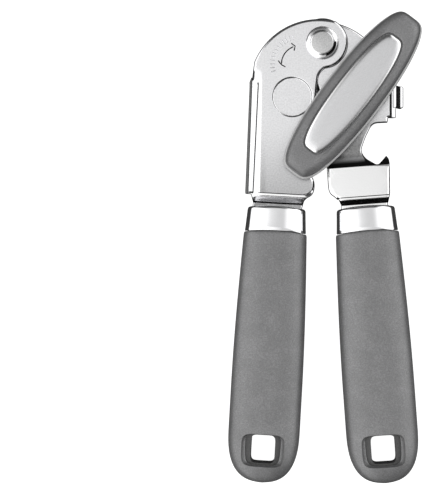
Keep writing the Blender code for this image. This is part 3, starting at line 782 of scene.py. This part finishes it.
def flange_line(y):
    """X where the left plate's side starts to bend."""
    return -26.6 + (y + 19.0) * 0.017


def crease_line(y):
    """X of the crease along the middle of the flange. At the top it curves out to the edge."""
    straight = -28.4 + (y + 18.0) * 0.05
    return straight - 1.6 * ease((y + 17.7) / 5.5) - 1.2 * max(0.0, y + 12.5)


def lip_line(y):
    return -31.45 + (y + 16.2) * LIP_SLOPE


def flange(x, y):
    line = crease_line(y)
    outer = fold(line - x, *CREASE_BEND)
    inner = fold(flange_line(y) - x, *FLANGE_BEND) - outer
    lip = fold(lip_line(y) - x, *LIP_BEND)
    return (inner * ease((-10.5 - y) / 9.0) + outer * ease((-9.5 - y) / 2.0)
            + lip * ease((-16.0 - y) / 0.4))


def neck_distance(x, y):
    """Distance past the lower edge and the rounded lower right corner of the left plate's face."""
    corner = LEFT_CORNER_RADIUS
    below = down_handle(LEFT_HANDLE, x, y) - LEFT_NECK
    beyond = x - LEFT_CORNER_X - 40.0 * ease((y + 61.5) / 4.0)
    if below > -corner and beyond > -corner:
        return math.hypot(below + corner, beyond + corner) - corner
    return max(below, beyond)


def neck_path(distance):
    """The curve at a distance past the lower edge and corner of the left plate's face."""
    corner = LEFT_CORNER_RADIUS
    start = handle_point(LEFT_HANDLE, -11.5, LEFT_NECK + distance)
    end = handle_point(LEFT_HANDLE, 16.65 - corner, LEFT_NECK + distance)
    centre = (LEFT_CORNER_X - corner, end[1] + distance + corner)
    path = [(start[0] + (centre[0] - start[0]) * i / 20, start[1] + (end[1] - start[1]) * i / 20)
            for i in range(20)]
    path += arc(centre, corner + distance, -90, 0, 16)
    return path + [(path[-1][0], path[-1][1] + 0.5 * i) for i in range(1, 5)]


def front_height(x, y):
    edge = step(neck_distance(x, y), *LEFT_EDGE)
    neck = down_handle(LEFT_HANDLE, x, y) - LEFT_NECK - LEFT_LEDGE
    neck = step(neck, *LEFT_NECK_STEP) + step(neck - LEFT_LEDGE_GAP, *LEFT_NECK_DROP)
    return -max(flange(x, y), edge + neck)


def front_detail(x, y):
    """Drop of both faces: the round button, and the crease along the flange."""
    from_rim = math.hypot(x - CUTTER_AXLE.x, y - CUTTER_AXLE.y) - BUTTON_RADIUS
    button = float(np.interp(from_rim, *zip(*BUTTON_RIM)))
    crease = step(crease_line(y) + CREASE_LEAD - x, *CREASE) * ease((-16.8 - y) / 2.0)
    return button - crease * (1 - ease((-65.5 - y) / 1.5))


def engraving():
    """An arrow along an arc, and a row of plain ticks outside it."""
    centre = (-10.0, -9.2)
    shaft = arc(centre, 8.1, 112, 178, 14)
    barbs = [(shaft[0], ((-0.5, 1.5), (1.0, 0.35), (0.6, -1.4))),
             (shaft[-1], ((-1.3, 1.0), (-0.1, -0.55), (1.5, -1.5)))]
    paths = [(shaft, 0.55)]
    paths += [([(x + dx, y + dy) for dx, dy in barb], 0.55) for (x, y), barb in barbs]
    for i in range(13):
        angle = math.radians(104 + 7.6 * i)
        tick = [(centre[0] + r * math.cos(angle), centre[1] + r * math.sin(angle))
                for r in (11.2, 12.05, 12.9)]
        paths.append((tick, 0.3))
    return paths


def make_front_plate(look):
    outline = rounded([(-2.2, -21.5, 0), (-1.7, -13.6, 2.5), (1.0, -11.35, 0)])
    outline += arc((0, 0), LOBE_RADIUS, -70, 60, 40)
    outline += arc(HEAD_CENTRE, HEAD_RADIUS, 79, 157, 60)
    outline += rounded([(-31.6, -15.9, 0.3), (-32.6, -16.4, 0.3), (-34.75, -66.9, 1.1), (-31.8, -67.1, 0.5)]
                       + tang(LEFT_HANDLE, (-31.0, -70.6), (-8.5, -71.6))
                       + [(-8.1, -70.2, 0.6), (-6.9, -69.0, 0.9), (-4.6, -67.8, 1.2), (-3.5, -65.6, 1.4),
                          (-3.3, -61.5, 2.0)])
    along = [-9.0 - 1.2 * i for i in range(49)]
    curves = [[(flange_line(y) - d, y) for y in along] for d in fold_cuts(*FLANGE_BEND)]
    curves += [[(crease_line(y) + CREASE_LEAD - d, y)
                for y in [-8.0 - 0.4 * i for i in range(26)] + along[9:]]
               for d in step_cuts(*CREASE, parts=3) + [0.8]]
    curves += [[(lip_line(y) - d, y) for y in [-16.0 - 0.2 * i for i in range(4)] + along[7:]]
               for d in fold_cuts(*LIP_BEND, 4)]
    curves += [[(-26.6 - 0.5 * i, y) for i in range(14)] for y in along[1:18]]
    curves += [neck_path(d) for d in step_cuts(*LEFT_EDGE, parts=4)]
    downs = [LEFT_NECK + LEFT_LEDGE + d for d in step_cuts(*LEFT_NECK_STEP, parts=4)
             + [LEFT_LEDGE_GAP + d for d in step_cuts(*LEFT_NECK_DROP)]]
    curves += across_lines(LEFT_HANDLE, downs, -11.8, 17.5)
    curves += [arc(CUTTER_AXLE.xy, BUTTON_RADIUS + d, 0, 360, 96) for d, _ in BUTTON_RIM]

    def share(x, y):
        if y < -68.5:
            return 0.5
        return 0.35 if x < -31.0 and y < -16.0 else 1.0

    holes = [((0, 0), HINGE_HOLE)]
    bm = sheet(outline, share, holes, curves, front_height, engraving(), front_detail)
    weigh_normals(piece("left_plate", bm, look, "cutter_arm", "cutter_arm_plate", "plate_steel"))


def rear_height(x, y):
    down = down_handle(RIGHT_HANDLE, x, y)
    rise = step(down - RIGHT_NECK_TOP, *RIGHT_RISE)
    neck = down - RIGHT_NECK
    neck = step(neck, *RIGHT_NECK_STEP) + step(neck - RIGHT_LEDGE, *RIGHT_NECK_DROP)
    return REAR_PLATE_Z + rise - neck - guard_drop(x, y)


def guard_drop(x, y):
    """The can guard at the right: two walls, each followed by a tread that leans outwards."""
    first = step(x - GUARD_WALL_X, *GUARD_WALL) + fold(x - GUARD_LEAN_X, *GUARD_LEAN)
    second = step(x - GUARD_EDGE_X, *GUARD_EDGE)
    groove = step(x - GUARD_GROOVE_X, *GUARD_GROOVE) * ease((y + 28.6) / 0.3)
    return (first + groove + second) * ease((y + 35.2) / 0.8)


def rear_share(x, y):
    """The rolled rim is narrow on the claw and on the can guard."""
    if x > 29.8 and y > -34.5:
        return 0.3
    if x > 16.5 and -55.0 < y < -34.5:
        return 0.3 if x > 25.5 and y < -49 else 0.55
    return 0.9 if y > -71 else 0.5


def make_rear_plate(look):
    notch = [(29.9, -53.8, 0), (29.6, -51.6, 0.5), (28.4, -50.0, 0.35), (26.9, -51.8, 0.8),
             (24.6, -54.4, 1.6), (18.8, -50.9, 2.0), (17.2, -47.6, 1.5), (19.3, -41.6, 1.8),
             (22.3, -35.7, 2.4), (29.0, -35.4, 0.4)]
    guard = [(29.3, -33.2, 0.2), (32.8, -33.2, 0.8), (32.9, -28.3, 0.3), (36.4, -28.3, 0.9),
             (36.4, -18.5, 0.9), (29.45, -18.5, 0.2)]
    outline = rounded(tang(RIGHT_HANDLE, (8.6, -72.4), (29.2, -71.5))
                      + [(29.5, -70.4, 0.5), (30.1, -66.6, 0.8)] + notch + guard)
    outline += arc(REAR_HEAD_CENTRE, REAR_HEAD_RADIUS, 6, 76, 40)
    outline += arc((0, 0), LOBE_RADIUS, 66, 236, 40)
    outline += arc(CUTTER_AXLE.xy, BUTTON_RELIEF, 50, -22, 20)
    outline += rounded([(0.5, -36.0, 0), (2.0, -55.5, 0.5), (2.7, -65.2, 1.2), (3.6, -67.2, 0.8),
                        (5.8, -68.8, 1.2), (7.2, -70.2, 1.0)])
    downs = [RIGHT_NECK_TOP + d for d in step_cuts(*RIGHT_RISE, 10)]
    downs += [RIGHT_NECK + d for d in step_cuts(*RIGHT_NECK_STEP, parts=4)]
    downs += [RIGHT_NECK + RIGHT_LEDGE + d for d in step_cuts(*RIGHT_NECK_DROP)]
    curves = across_lines(RIGHT_HANDLE, downs, -19.0, 15.0)
    xs = [GUARD_WALL_X + d for d in step_cuts(*GUARD_WALL, parts=4)]
    xs += [GUARD_LEAN_X + d for d in fold_cuts(*GUARD_LEAN, 3)]
    xs += [GUARD_GROOVE_X + d for d in step_cuts(*GUARD_GROOVE, parts=3)]
    xs += [GUARD_EDGE_X + d for d in step_cuts(*GUARD_EDGE, parts=4)]
    rows = [-35.3, -35.0, -34.7, -34.4, -33.0, -30.0, -28.65, -28.5, -28.3, -27.0, -24.0, -21.0, -18.4]
    curves += [[(x, y) for y in rows] for x in sorted(xs)]
    curves += [[(28.4 + 0.5 * i, y) for i in range(17)] for y in rows]
    holes = [((0, 0), HINGE_HOLE), (SHAFT_AXLE.xy, SLEEVE_HOLE)]
    bm = sheet(outline, rear_share, holes, curves, rear_height)
    weigh_normals(piece("right_plate", bm, look, "drive_arm", "drive_arm_plate", "plate_steel"))


# ---- hinge and wheels ----

def make_hinge(bright, steel):
    rear = REAR_PLATE_Z - PLATE
    profile = [(AXIS, 2.5, 0), (4.9, 2.5, 0.4), (5.6, 1.7, 0.3), (6.4, 1.55, 0.3), (7.25, 1.1, 0.4),
               (7.4, 0.3, 0), (3.5, 0.3, 0), (3.5, rear - 1.6, 0), (5.4, rear - 1.6, 0.3),
               (5.2, rear - 2.3, 0.4), (3.6, rear - 2.8, 0.4), (AXIS, rear - 2.8, 0)]
    turned_piece("hinge_rivet", profile, bright, "cutter_arm", "pivot_rivet", "chrome")
    washer = [(3.8, rear - 0.3, 0.1), (6.4, rear - 0.3, 0.15), (6.4, rear - 1.3, 0.15),
              (3.8, rear - 1.3, 0.1)]
    turned_piece("hinge_washer", washer, steel, "cutter_arm", "pivot_washer", "gear_steel", closed=True)


def gear_outline(phase):
    module = 2 * PITCH_RADIUS / GEAR_TEETH
    base = PITCH_RADIUS * math.cos(PRESSURE_ANGLE)
    outer = PITCH_RADIUS + module
    at_pitch = math.pi / (2 * GEAR_TEETH) - GEAR_BACKLASH / (2 * PITCH_RADIUS)
    at_base = at_pitch + math.tan(PRESSURE_ANGLE) - PRESSURE_ANGLE
    flank = [(PITCH_RADIUS - 1.2 * module, at_base)]
    for i in range(5):
        radius = base + (outer - base) * i / 4
        slope = math.acos(base / radius)
        flank.append((radius, at_base - math.tan(slope) + slope))
    outline = []
    for tooth in range(GEAR_TEETH):
        middle = phase + math.tau * tooth / GEAR_TEETH
        sides = [(r, middle - a) for r, a in flank] + [(r, middle + a) for r, a in reversed(flank)]
        outline += [(r * math.cos(a), r * math.sin(a)) for r, a in sides]
    return outline


def feed_outline():
    outline = []
    pitch = math.tau / FEED_TEETH
    for tooth in range(FEED_TEETH):
        for radius, share in ((FEED_RADIUS - 1.0, 0.1), (FEED_RADIUS, 0.4), (FEED_RADIUS, 0.6),
                              (FEED_RADIUS - 1.0, 0.9)):
            angle = pitch * (tooth + share)
            outline.append((radius * math.cos(angle), radius * math.sin(angle)))
    return outline


def bored(outline, bore, front, back):
    """A flat piece with an outline and a bore."""
    bm = bmesh.new()
    edges = []
    for ring in (outline, [point[:2] for point in bore]):
        verts = [bm.verts.new((x, y, front)) for x, y in ring]
        edges += [bm.edges.new((verts[i - 1], verts[i])) for i in range(len(verts))]
    bmesh.ops.triangle_fill(bm, use_beauty=True, use_dissolve=False, edges=edges, normal=(0, 0, 1))
    faces = bm.faces[:]
    made = bmesh.ops.extrude_face_region(bm, geom=faces)
    moved = [item for item in made["geom"] if isinstance(item, bmesh.types.BMVert)]
    bmesh.ops.translate(bm, vec=(0, 0, back - front), verts=moved)
    bmesh.ops.reverse_faces(bm, faces=faces)
    return bm


def make_cutter(steel, blade):
    at = (CUTTER_AXLE.x, CUTTER_AXLE.y, 0)
    stud = [(AXIS, -3.0, 0), (3.0, -3.0, 0.2), (3.0, STUD_END, 0.3), (1.8, STUD_END, 0),
            (1.8, STUD_END + 5, 0), (AXIS, STUD_END + 5, 0)]
    turned_piece("stud", stud, steel, "cutter_arm", "cutter_stud", "gear_steel", at)
    washer = [(1.8, STUD_END - 0.3, 0), (5.6, STUD_END - 0.3, 0.12), (5.6, STUD_END - 1, 0.12),
              (1.8, STUD_END - 1, 0)]
    turned_piece("stud_washer", washer, steel, "cutter_arm", "cutter_washer", "gear_steel", at, closed=True)
    screw = [(AXIS, STUD_END + 4, 0), (1.5, STUD_END + 4, 0.2), (1.5, STUD_END - 1.3, 0),
             (4.6, STUD_END - 1.3, 0.15), (4.6, BACK_Z + 0.5, 0.3), (4.0, BACK_Z, 0.3), (AXIS, BACK_Z, 0)]
    head = turned_piece("stud_screw", screw, steel, "cutter_arm", "cutter_screw", "gear_steel", at)
    slot = loft([[(x, y, z) for x, y in ((-6, -0.5), (6, -0.5), (6, 0.5), (-6, 0.5))]
                 for z in (BACK_Z - 1, BACK_Z + 0.9)])
    cut_with(head, slot, at)
    bore = oval(BORE, BORE, 0, 2.0, 48)
    soften(piece("left_gear", bored(gear_outline(0.0), bore, *GEAR_Z), steel, "cutter", "cutter_gear",
                 "gear_steel", at), 0.15)
    hub = [(BORE, -6.7, 0.1), (7.0, -6.7, 0.2), (7.0, -9.2, 0.2), (BORE, -9.2, 0.1)]
    turned_piece("wheel_hub", hub, steel, "cutter", "cutter_hub", "gear_steel", at, closed=True)
    front, back = CUTTER_Z
    wheel = [(BORE, front, 0.1), (CUTTER_RADIUS, front, 0.02), (CUTTER_RADIUS, front - 0.15, 0.03),
             (CUTTER_RADIUS - 3.2, back, 0.4), (BORE, back, 0.1)]
    turned_piece("round_blade", wheel, blade, "cutter", "cutting_wheel", "blade_steel", at, closed=True,
                 steps=120)


def make_drive(steel, blade, bright):
    at = (SHAFT_AXLE.x, SHAFT_AXLE.y, 0)
    sleeve = [(4.3, -0.8, 0.1), (6.8, -0.8, 0.3), (6.8, -1.5, 0), (5.0, -1.5, 0), (5.0, -3.5, 0.1),
              (4.3, -3.5, 0.1)]
    turned_piece("shaft_sleeve", sleeve, steel, "drive_arm", "shaft_bushing", "gear_steel", at, closed=True)
    rings = [oval(r, r, z) for r, z in ((2.6, -14.0), (3.0, -13.6), (3.0, -9.1))]
    rings += [flatted(*SHAFT, z) for z in (-9.1, -3.7)]
    rings += [oval(4.0, 4.0, z) for z in (-3.7, 3.2)]
    rings += [flatted(*SHAFT, z) for z in (3.2, 9.0)]
    rings += [oval(1.8, 1.8, z) for z in (9.0, 1.0)]
    piece("knob_shaft", loft(rings), steel, "drive_train", "drive_shaft", "gear_steel", at, KNOB_ANGLE)
    bore = flatted(*SHAFT_BORE, 0, 48)
    phase = math.pi + math.pi / GEAR_TEETH - KNOB_ANGLE
    soften(piece("right_gear", bored(gear_outline(phase), bore, *GEAR_Z), steel, "drive_train",
                 "drive_gear", "gear_steel", at, KNOB_ANGLE), 0.15)
    soften(piece("toothed_wheel", bored(feed_outline(), bore, *FEED_Z), blade, "drive_train",
                 "feed_wheel", "blade_steel", at, KNOB_ANGLE), 0.12)
    spring = [(BORE, -9.5, 0.1), (6.2, -9.7, 0.1), (6.2, -10.3, 0.1), (BORE, -10.1, 0.1)]
    turned_piece("spring_ring", spring, bright, "drive_train", "spring_washer", "gear_steel", at,
                 closed=True)
    nut = bored(arc((0, 0), 6.3, 0, 300, 5), oval(BORE, BORE, 0, 2.0, 48), -10.7, -13.6)
    soften(piece("nut", nut, bright, "drive_train", "shaft_nut", "gear_steel", at), 0.35, 3)
    collar = [(4.3, -0.5, 0.1), (6.2, -0.5, 0.3), (6.2, 3.2, 0.3), (4.3, 3.2, 0.1)]
    turned_piece("collar", collar, bright, "drive_train", "knob_collar", "chrome", at, closed=True)


# ---- knob ----

def barrel(half_length, half_width, z):
    """Ring with bowed sides and blunt, rounded ends, its long axis on X."""
    ring = []
    for i in range(144):
        x = math.cos(math.tau * i / 144)
        y = math.sin(math.tau * i / 144)
        reach = (abs(x) ** KNOB_POWER + abs(y) ** KNOB_POWER) ** (-1 / KNOB_POWER)
        bow = 1 - KNOB_BOW * (x * reach) ** 2
        ring.append((half_length * x * reach, half_width * y * reach * bow, z))
    return ring


def knob_ring(inset_by, z):
    return barrel(KNOB_HALF_LENGTH - inset_by, KNOB_HALF_WIDTH - inset_by, z)


def quarter(radius, inset_by, z, parts=6):
    """Rings that round an upper edge of the knob: (inset, z) from the side to the top."""
    return [(inset_by + radius * (1 - math.cos(a)), z - radius * (1 - math.sin(a)))
            for a in [math.pi / 2 * i / parts for i in range(parts + 1)]]


def make_knob(shell, grip, trim, steel):
    at = (SHAFT_AXLE.x, SHAFT_AXLE.y, 0)
    low, split, top = KNOB_BASE_Z, KNOB_SPLIT_Z, KNOB_TOP_Z
    rings = [knob_ring(by, low + z) for by, z in ((2.0, 0), (1.0, 0.15), (0.35, 0.6), (0.05, 1.2))]
    rings += [knob_ring(by, split - z)
              for by, z in ((0, 1.3), (0.1, 0.9), (0.35, 0.45), (0.75, 0.1), (1.1, 0))]
    rings += [flatted(*SHAFT_BORE, z, 144) for z in (split, low)]
    piece("knob_shell", loft(rings, closed=True), shell, "drive_train", "knob_back", "knob_shell", at,
          KNOB_ANGLE)

    def pocket(by, z):
        return barrel(INSERT_HALF_LENGTH - by, INSERT_HALF_WIDTH - by, z)

    bottom = split + 0.3
    rings = [knob_ring(by, bottom + z) for by, z in ((1.3, 0), (0.95, 0.1), (0.85, 0.5))]
    rings += [knob_ring(by, z) for by, z in quarter(4.0, 0.85, top - 0.35, 8)]
    rings += [pocket(-by, top - z) for by, z in ((1.1, 0.05), (0.75, 0.2), (0.65, 0.5))]
    rings.append(pocket(-0.65, INSERT_FLOOR_Z))
    rings += [oval(r, r, z, 2.0, 144) for r, z in ((4.0, 13.3), (4.0, 10.8), (1.8, 10.8), (1.8, 9.3))]
    rings += [flatted(*SHAFT_BORE, z, 144) for z in (9.3, bottom)]
    piece("knob_cover", loft(rings, closed=True), grip, "drive_train", "knob_grip", "soft_grey", at,
          KNOB_ANGLE)
    rings = [pocket(0.2, INSERT_FLOOR_Z + 0.3), pocket(0, INSERT_FLOOR_Z + 0.5), pocket(0, top - 0.35)]
    rings += [pocket(by, top + z) for by, z in ((0.12, -0.2), (0.35, -0.02), (0.8, 0.16), (1.4, 0.3),
                                               (2.1, 0.4), (3.0, 0.46), (4.4, 0.485), (5.8, 0.49))]
    piece("knob_plate", loft(rings), trim, "drive_train", "knob_insert", "satin_trim", at, KNOB_ANGLE)
    screw = [(AXIS, 2.0, 0), (1.5, 2.0, 0.2), (1.5, 11.1, 0), (3.6, 11.1, 0.1), (3.5, 12.5, 0.6),
             (2.4, 13.1, 0.5), (AXIS, 13.1, 0)]
    turned_piece("hidden_screw", screw, steel, "drive_train", "knob_screw", "gear_steel", at)


# ---- handles ----

def section(half_width, half_depth, back, down, power=2.6, arch=0.0):
    """Ring across a handle. The arch lifts the middle of the ring up the handle."""
    ring = []
    for x, z, _ in oval(half_width, half_depth, 0, power, 64):
        ring.append((x, -down + arch * (1 - (x / half_width) ** 2), max(z, -back)))
    return ring


def grip_half_width(down):
    half = GRIP_TOP_HALF + GRIP_SWELL * math.sin(math.pi / 2 * min(1, down / GRIP_SWELL_LENGTH))
    past = min(1.0, max(0, (down - GRIP_END_START) / (GRIP_LENGTH - GRIP_END_START)))
    return half * (1 - past**GRIP_END_POWER) ** (1 / GRIP_END_POWER)


def grip_half_depth(down):
    past = max(0, (down - GRIP_DEPTH_END_START) / (GRIP_LENGTH + 0.6 - GRIP_DEPTH_END_START))
    return GRIP_HALF_DEPTH * (1 - past**2.5) ** (1 / 2.5)


def grip_section(by, down, arch=0.0):
    return section(grip_half_width(down) - by, grip_half_depth(down) - by, GRIP_BACK - by, down, arch=arch)


def end_spacing(start, end, parts):
    """Distances that crowd together towards the end, for a round tip."""
    return [start + (end - start) * math.sin(math.pi / 2 * i / parts) for i in range(parts + 1)]


def make_handle(side, body, handle, bright, core_look, grip_look):
    at = (handle[0], handle[1], HANDLE_Z)
    turn = handle[2]
    top, arch = FERRULE_HEIGHT, GRIP_ARCH
    outer = [section(13.55, 8.6, 8.3, -0.3, arch=arch), section(13.7, 8.7, 8.4, -0.7, arch=arch)]
    outer += [section(13.7 - 0.07 * d, 8.7 - 0.05 * d, 8.4 - 0.04 * d, -d, arch=arch)
              for d in (2, 4, 6, 8, 9.4)]
    outer += [section(13.0 - 1.4 * (1 - math.cos(a)), 8.2 - 1.6 * (1 - math.cos(a)),
                      8.0 - 1.5 * (1 - math.cos(a)), -9.9 - (top - 9.9 - arch) * math.sin(a), arch=arch)
              for a in [math.pi / 2 * i / 7 for i in range(8)]]
    slot = [section(11.9, 1.3, 2, -y, 12, arch=arch) for y in (top - arch, top - 1.5 - arch)]
    inner = [section(12.0, 6.9, 6.7, -top + 1.5 + arch, arch=arch), section(12.3, 7.2, 7.0, -0.3, arch=arch)]
    piece(side + "_collar", loft(outer + slot + inner, closed=True), bright, body, side + "_ferrule",
          "chrome", at, turn, sharp=60)

    inner_downs = [CORE_END * i / 40 for i in range(1, 40)]
    rings = [grip_section(GRIP_WALL + 0.9, CORE_END)]
    rings += [grip_section(GRIP_WALL + 0.3, down) for down in (*inner_downs[::-1], 0.6)]
    rings += [section(11.1, 6.0, 5.8, 0.6), section(11.0, 5.9, 5.7, -CORE_TOP)]
    rings += [section(TANG_HALF + 0.3, PLATE / 2 + 0.3, 3, down, 12) for down in (-CORE_TOP, TANG_END + 0.6)]
    core = piece(side + "_core", loft(rings), core_look, body, side + "_handle_core", "core_plastic",
                 at, turn)
    hole = loft([[(x, y - HANG_HOLE_AT, z) for x, y, z in oval(*HANG_HOLE_HALF, z, 6, 64)]
                 for z in (-12, 12)])
    cut_with(core, hole, at, turn)

    even_to = 86.0
    downs = [even_to * i / 44 for i in range(1, 45)] + end_spacing(even_to, GRIP_LENGTH - 0.02, 30)[1:]
    rings = [grip_section(0, down) for down in reversed(downs)]
    rings += [grip_section(0, 1.0, arch), grip_section(0.12, 0.35, arch), grip_section(0.45, 0, arch)]
    rings += [grip_section(GRIP_WALL, down, arch) for down in (0, 1.0)]
    rings += [grip_section(GRIP_WALL, down) for down in inner_downs + [CORE_END + 0.3]]
    grip = piece(side + "_cover", loft(rings), grip_look, body, side + "_grip", "soft_grey", at, turn)
    dish = []
    for wide, tall, shift, z in ((1.9, 0.5, -0.5, 11), (0.6, 0.15, -0.5, 8.9), (0, 0, -0.5, 7.6),
                                 (-0.5, -0.3, -0.45, 6.3)):
        ring = oval(HANG_DISH_HALF[0] + wide, HANG_DISH_HALF[1] + tall, z, 5, 96)
        dish.append([(x, y + shift, level) for x, y, level in ring])
    dish += [oval(HANG_HOLE_HALF[0] + wide, HANG_HOLE_HALF[1] + tall, z, 7, 96)
             for wide, tall, z in ((1.5, 0.35, 5.0), (0.2, 0.1, 0.5))]
    dish += [[(x, y, -z) for x, y, z in ring] for ring in reversed(dish)]
    dish = [[(x, y - HANG_HOLE_AT, z) for x, y, z in ring] for ring in dish]
    cut_with(grip, loft(dish), at, turn)
    smooth_faces(grip, 38)


# ---- studio ----

def make_studio():
    world = bpy.data.worlds.new("studio")
    bpy.context.scene.world = world
    n = Nodes(world)
    x, y, z = [n.part(n.direction, name) for name in "XYZ"]
    cos, sin = math.cos(GAP_TURN), math.sin(GAP_TURN)
    across = n.plus(n.times(x, cos), n.times(y, sin))
    along = n.minus(n.times(y, cos), n.times(x, sin))
    from_gap = n.math("ABSOLUTE", n.minus(across, GAP_SHIFT))
    from_gap = n.minus(from_gap, n.times(n.math("ABSOLUTE", along), GAP_SPREAD))
    side = n.smooth(from_gap, *GAP_EDGE)
    gap = n.plus(n.times(n.smooth(z, *OVERHEAD_EDGE), GAP_LIGHT - GAP_DARK), GAP_DARK)
    level = n.plus(n.times(side, BOX_LIGHT), n.times(n.minus(1.0, side), gap))
    level = n.plus(n.times(level, n.smooth(z, *HORIZON)), UNDER_LIGHT)
    background = n.tree.nodes["Background"]
    n.link(level, background.inputs["Strength"])
    background.inputs["Color"].default_value = (1, 1, 1, 1)


def make_floor():
    """A pale field behind the opener that the steel doesn't mirror."""
    bm = bmesh.new()
    bmesh.ops.create_grid(bm, x_segments=1, y_segments=1, size=3.0)
    floor = add_object("floor", mesh_of("floor", bm))
    floor.location.z = -0.5 * MM
    floor.visible_glossy = False
    floor.visible_diffuse = False
    floor.visible_shadow = False
    look = new_look("pale_floor").set(Base_Color=(0.3, 0.3, 0.3, 1), Roughness=1.0, Specular_IOR_Level=0.0,
                                      Emission_Color=(1, 1, 1, 1), Emission_Strength=1.0)
    floor.data.materials.append(look)


def make_lights():
    for name, side in (("softbox_left", -1), ("softbox_right", 1)):
        data = bpy.data.lights.new(name, "AREA")
        data.shape = "RECTANGLE"
        data.size = 0.5
        data.size_y = 0.9
        data.energy = LAMP_POWER
        light = add_object(name, data)
        light.location = (side * 0.75, -0.02, 0.55)
        light.rotation_euler = (-light.location).to_track_quat("-Z", "Y").to_euler()
        light.visible_glossy = False


def make_camera():
    """Looks down at the opener from over its middle, and is turned a little to the left."""
    data = bpy.data.cameras.new("camera")
    camera = add_object("camera", data)
    bpy.context.scene.camera = camera
    eye, aim = Vector(EYE), Vector(AIM)
    camera.location = (eye + Vector((HINGE.x, HINGE.y, FRONT_Z))) * MM
    look = (eye - aim).normalized()
    right = Vector((0, 1, 0)).cross(look).normalized()
    camera.rotation_euler = Matrix((right, look.cross(right), look)).transposed().to_euler()
    data.lens = SENSOR * (aim - eye).length / FIELD_HEIGHT
    data.clip_start = 0.05
    data.clip_end = 20


def main():
    bright = chrome()
    gear = machined("gear_steel_look", 0.62, 0.3)
    blade = machined("blade_steel_look", 0.72, 0.18)
    soft = soft_touch()
    core_look = plastic()
    make_front_plate(left_steel())
    make_rear_plate(right_steel())
    make_hinge(rivet_look(), gear)
    make_cutter(gear, blade)
    make_drive(gear, blade, bright)
    make_knob(shell_look(), soft, satin_trim(), gear)
    make_handle("left", "cutter_arm", LEFT_HANDLE, bright, core_look, soft)
    make_handle("right", "drive_arm", RIGHT_HANDLE, bright, core_look, soft)
    make_studio()
    make_floor()
    make_lights()
    make_camera()
    bpy.context.scene.view_settings.view_transform = "Standard"


main()
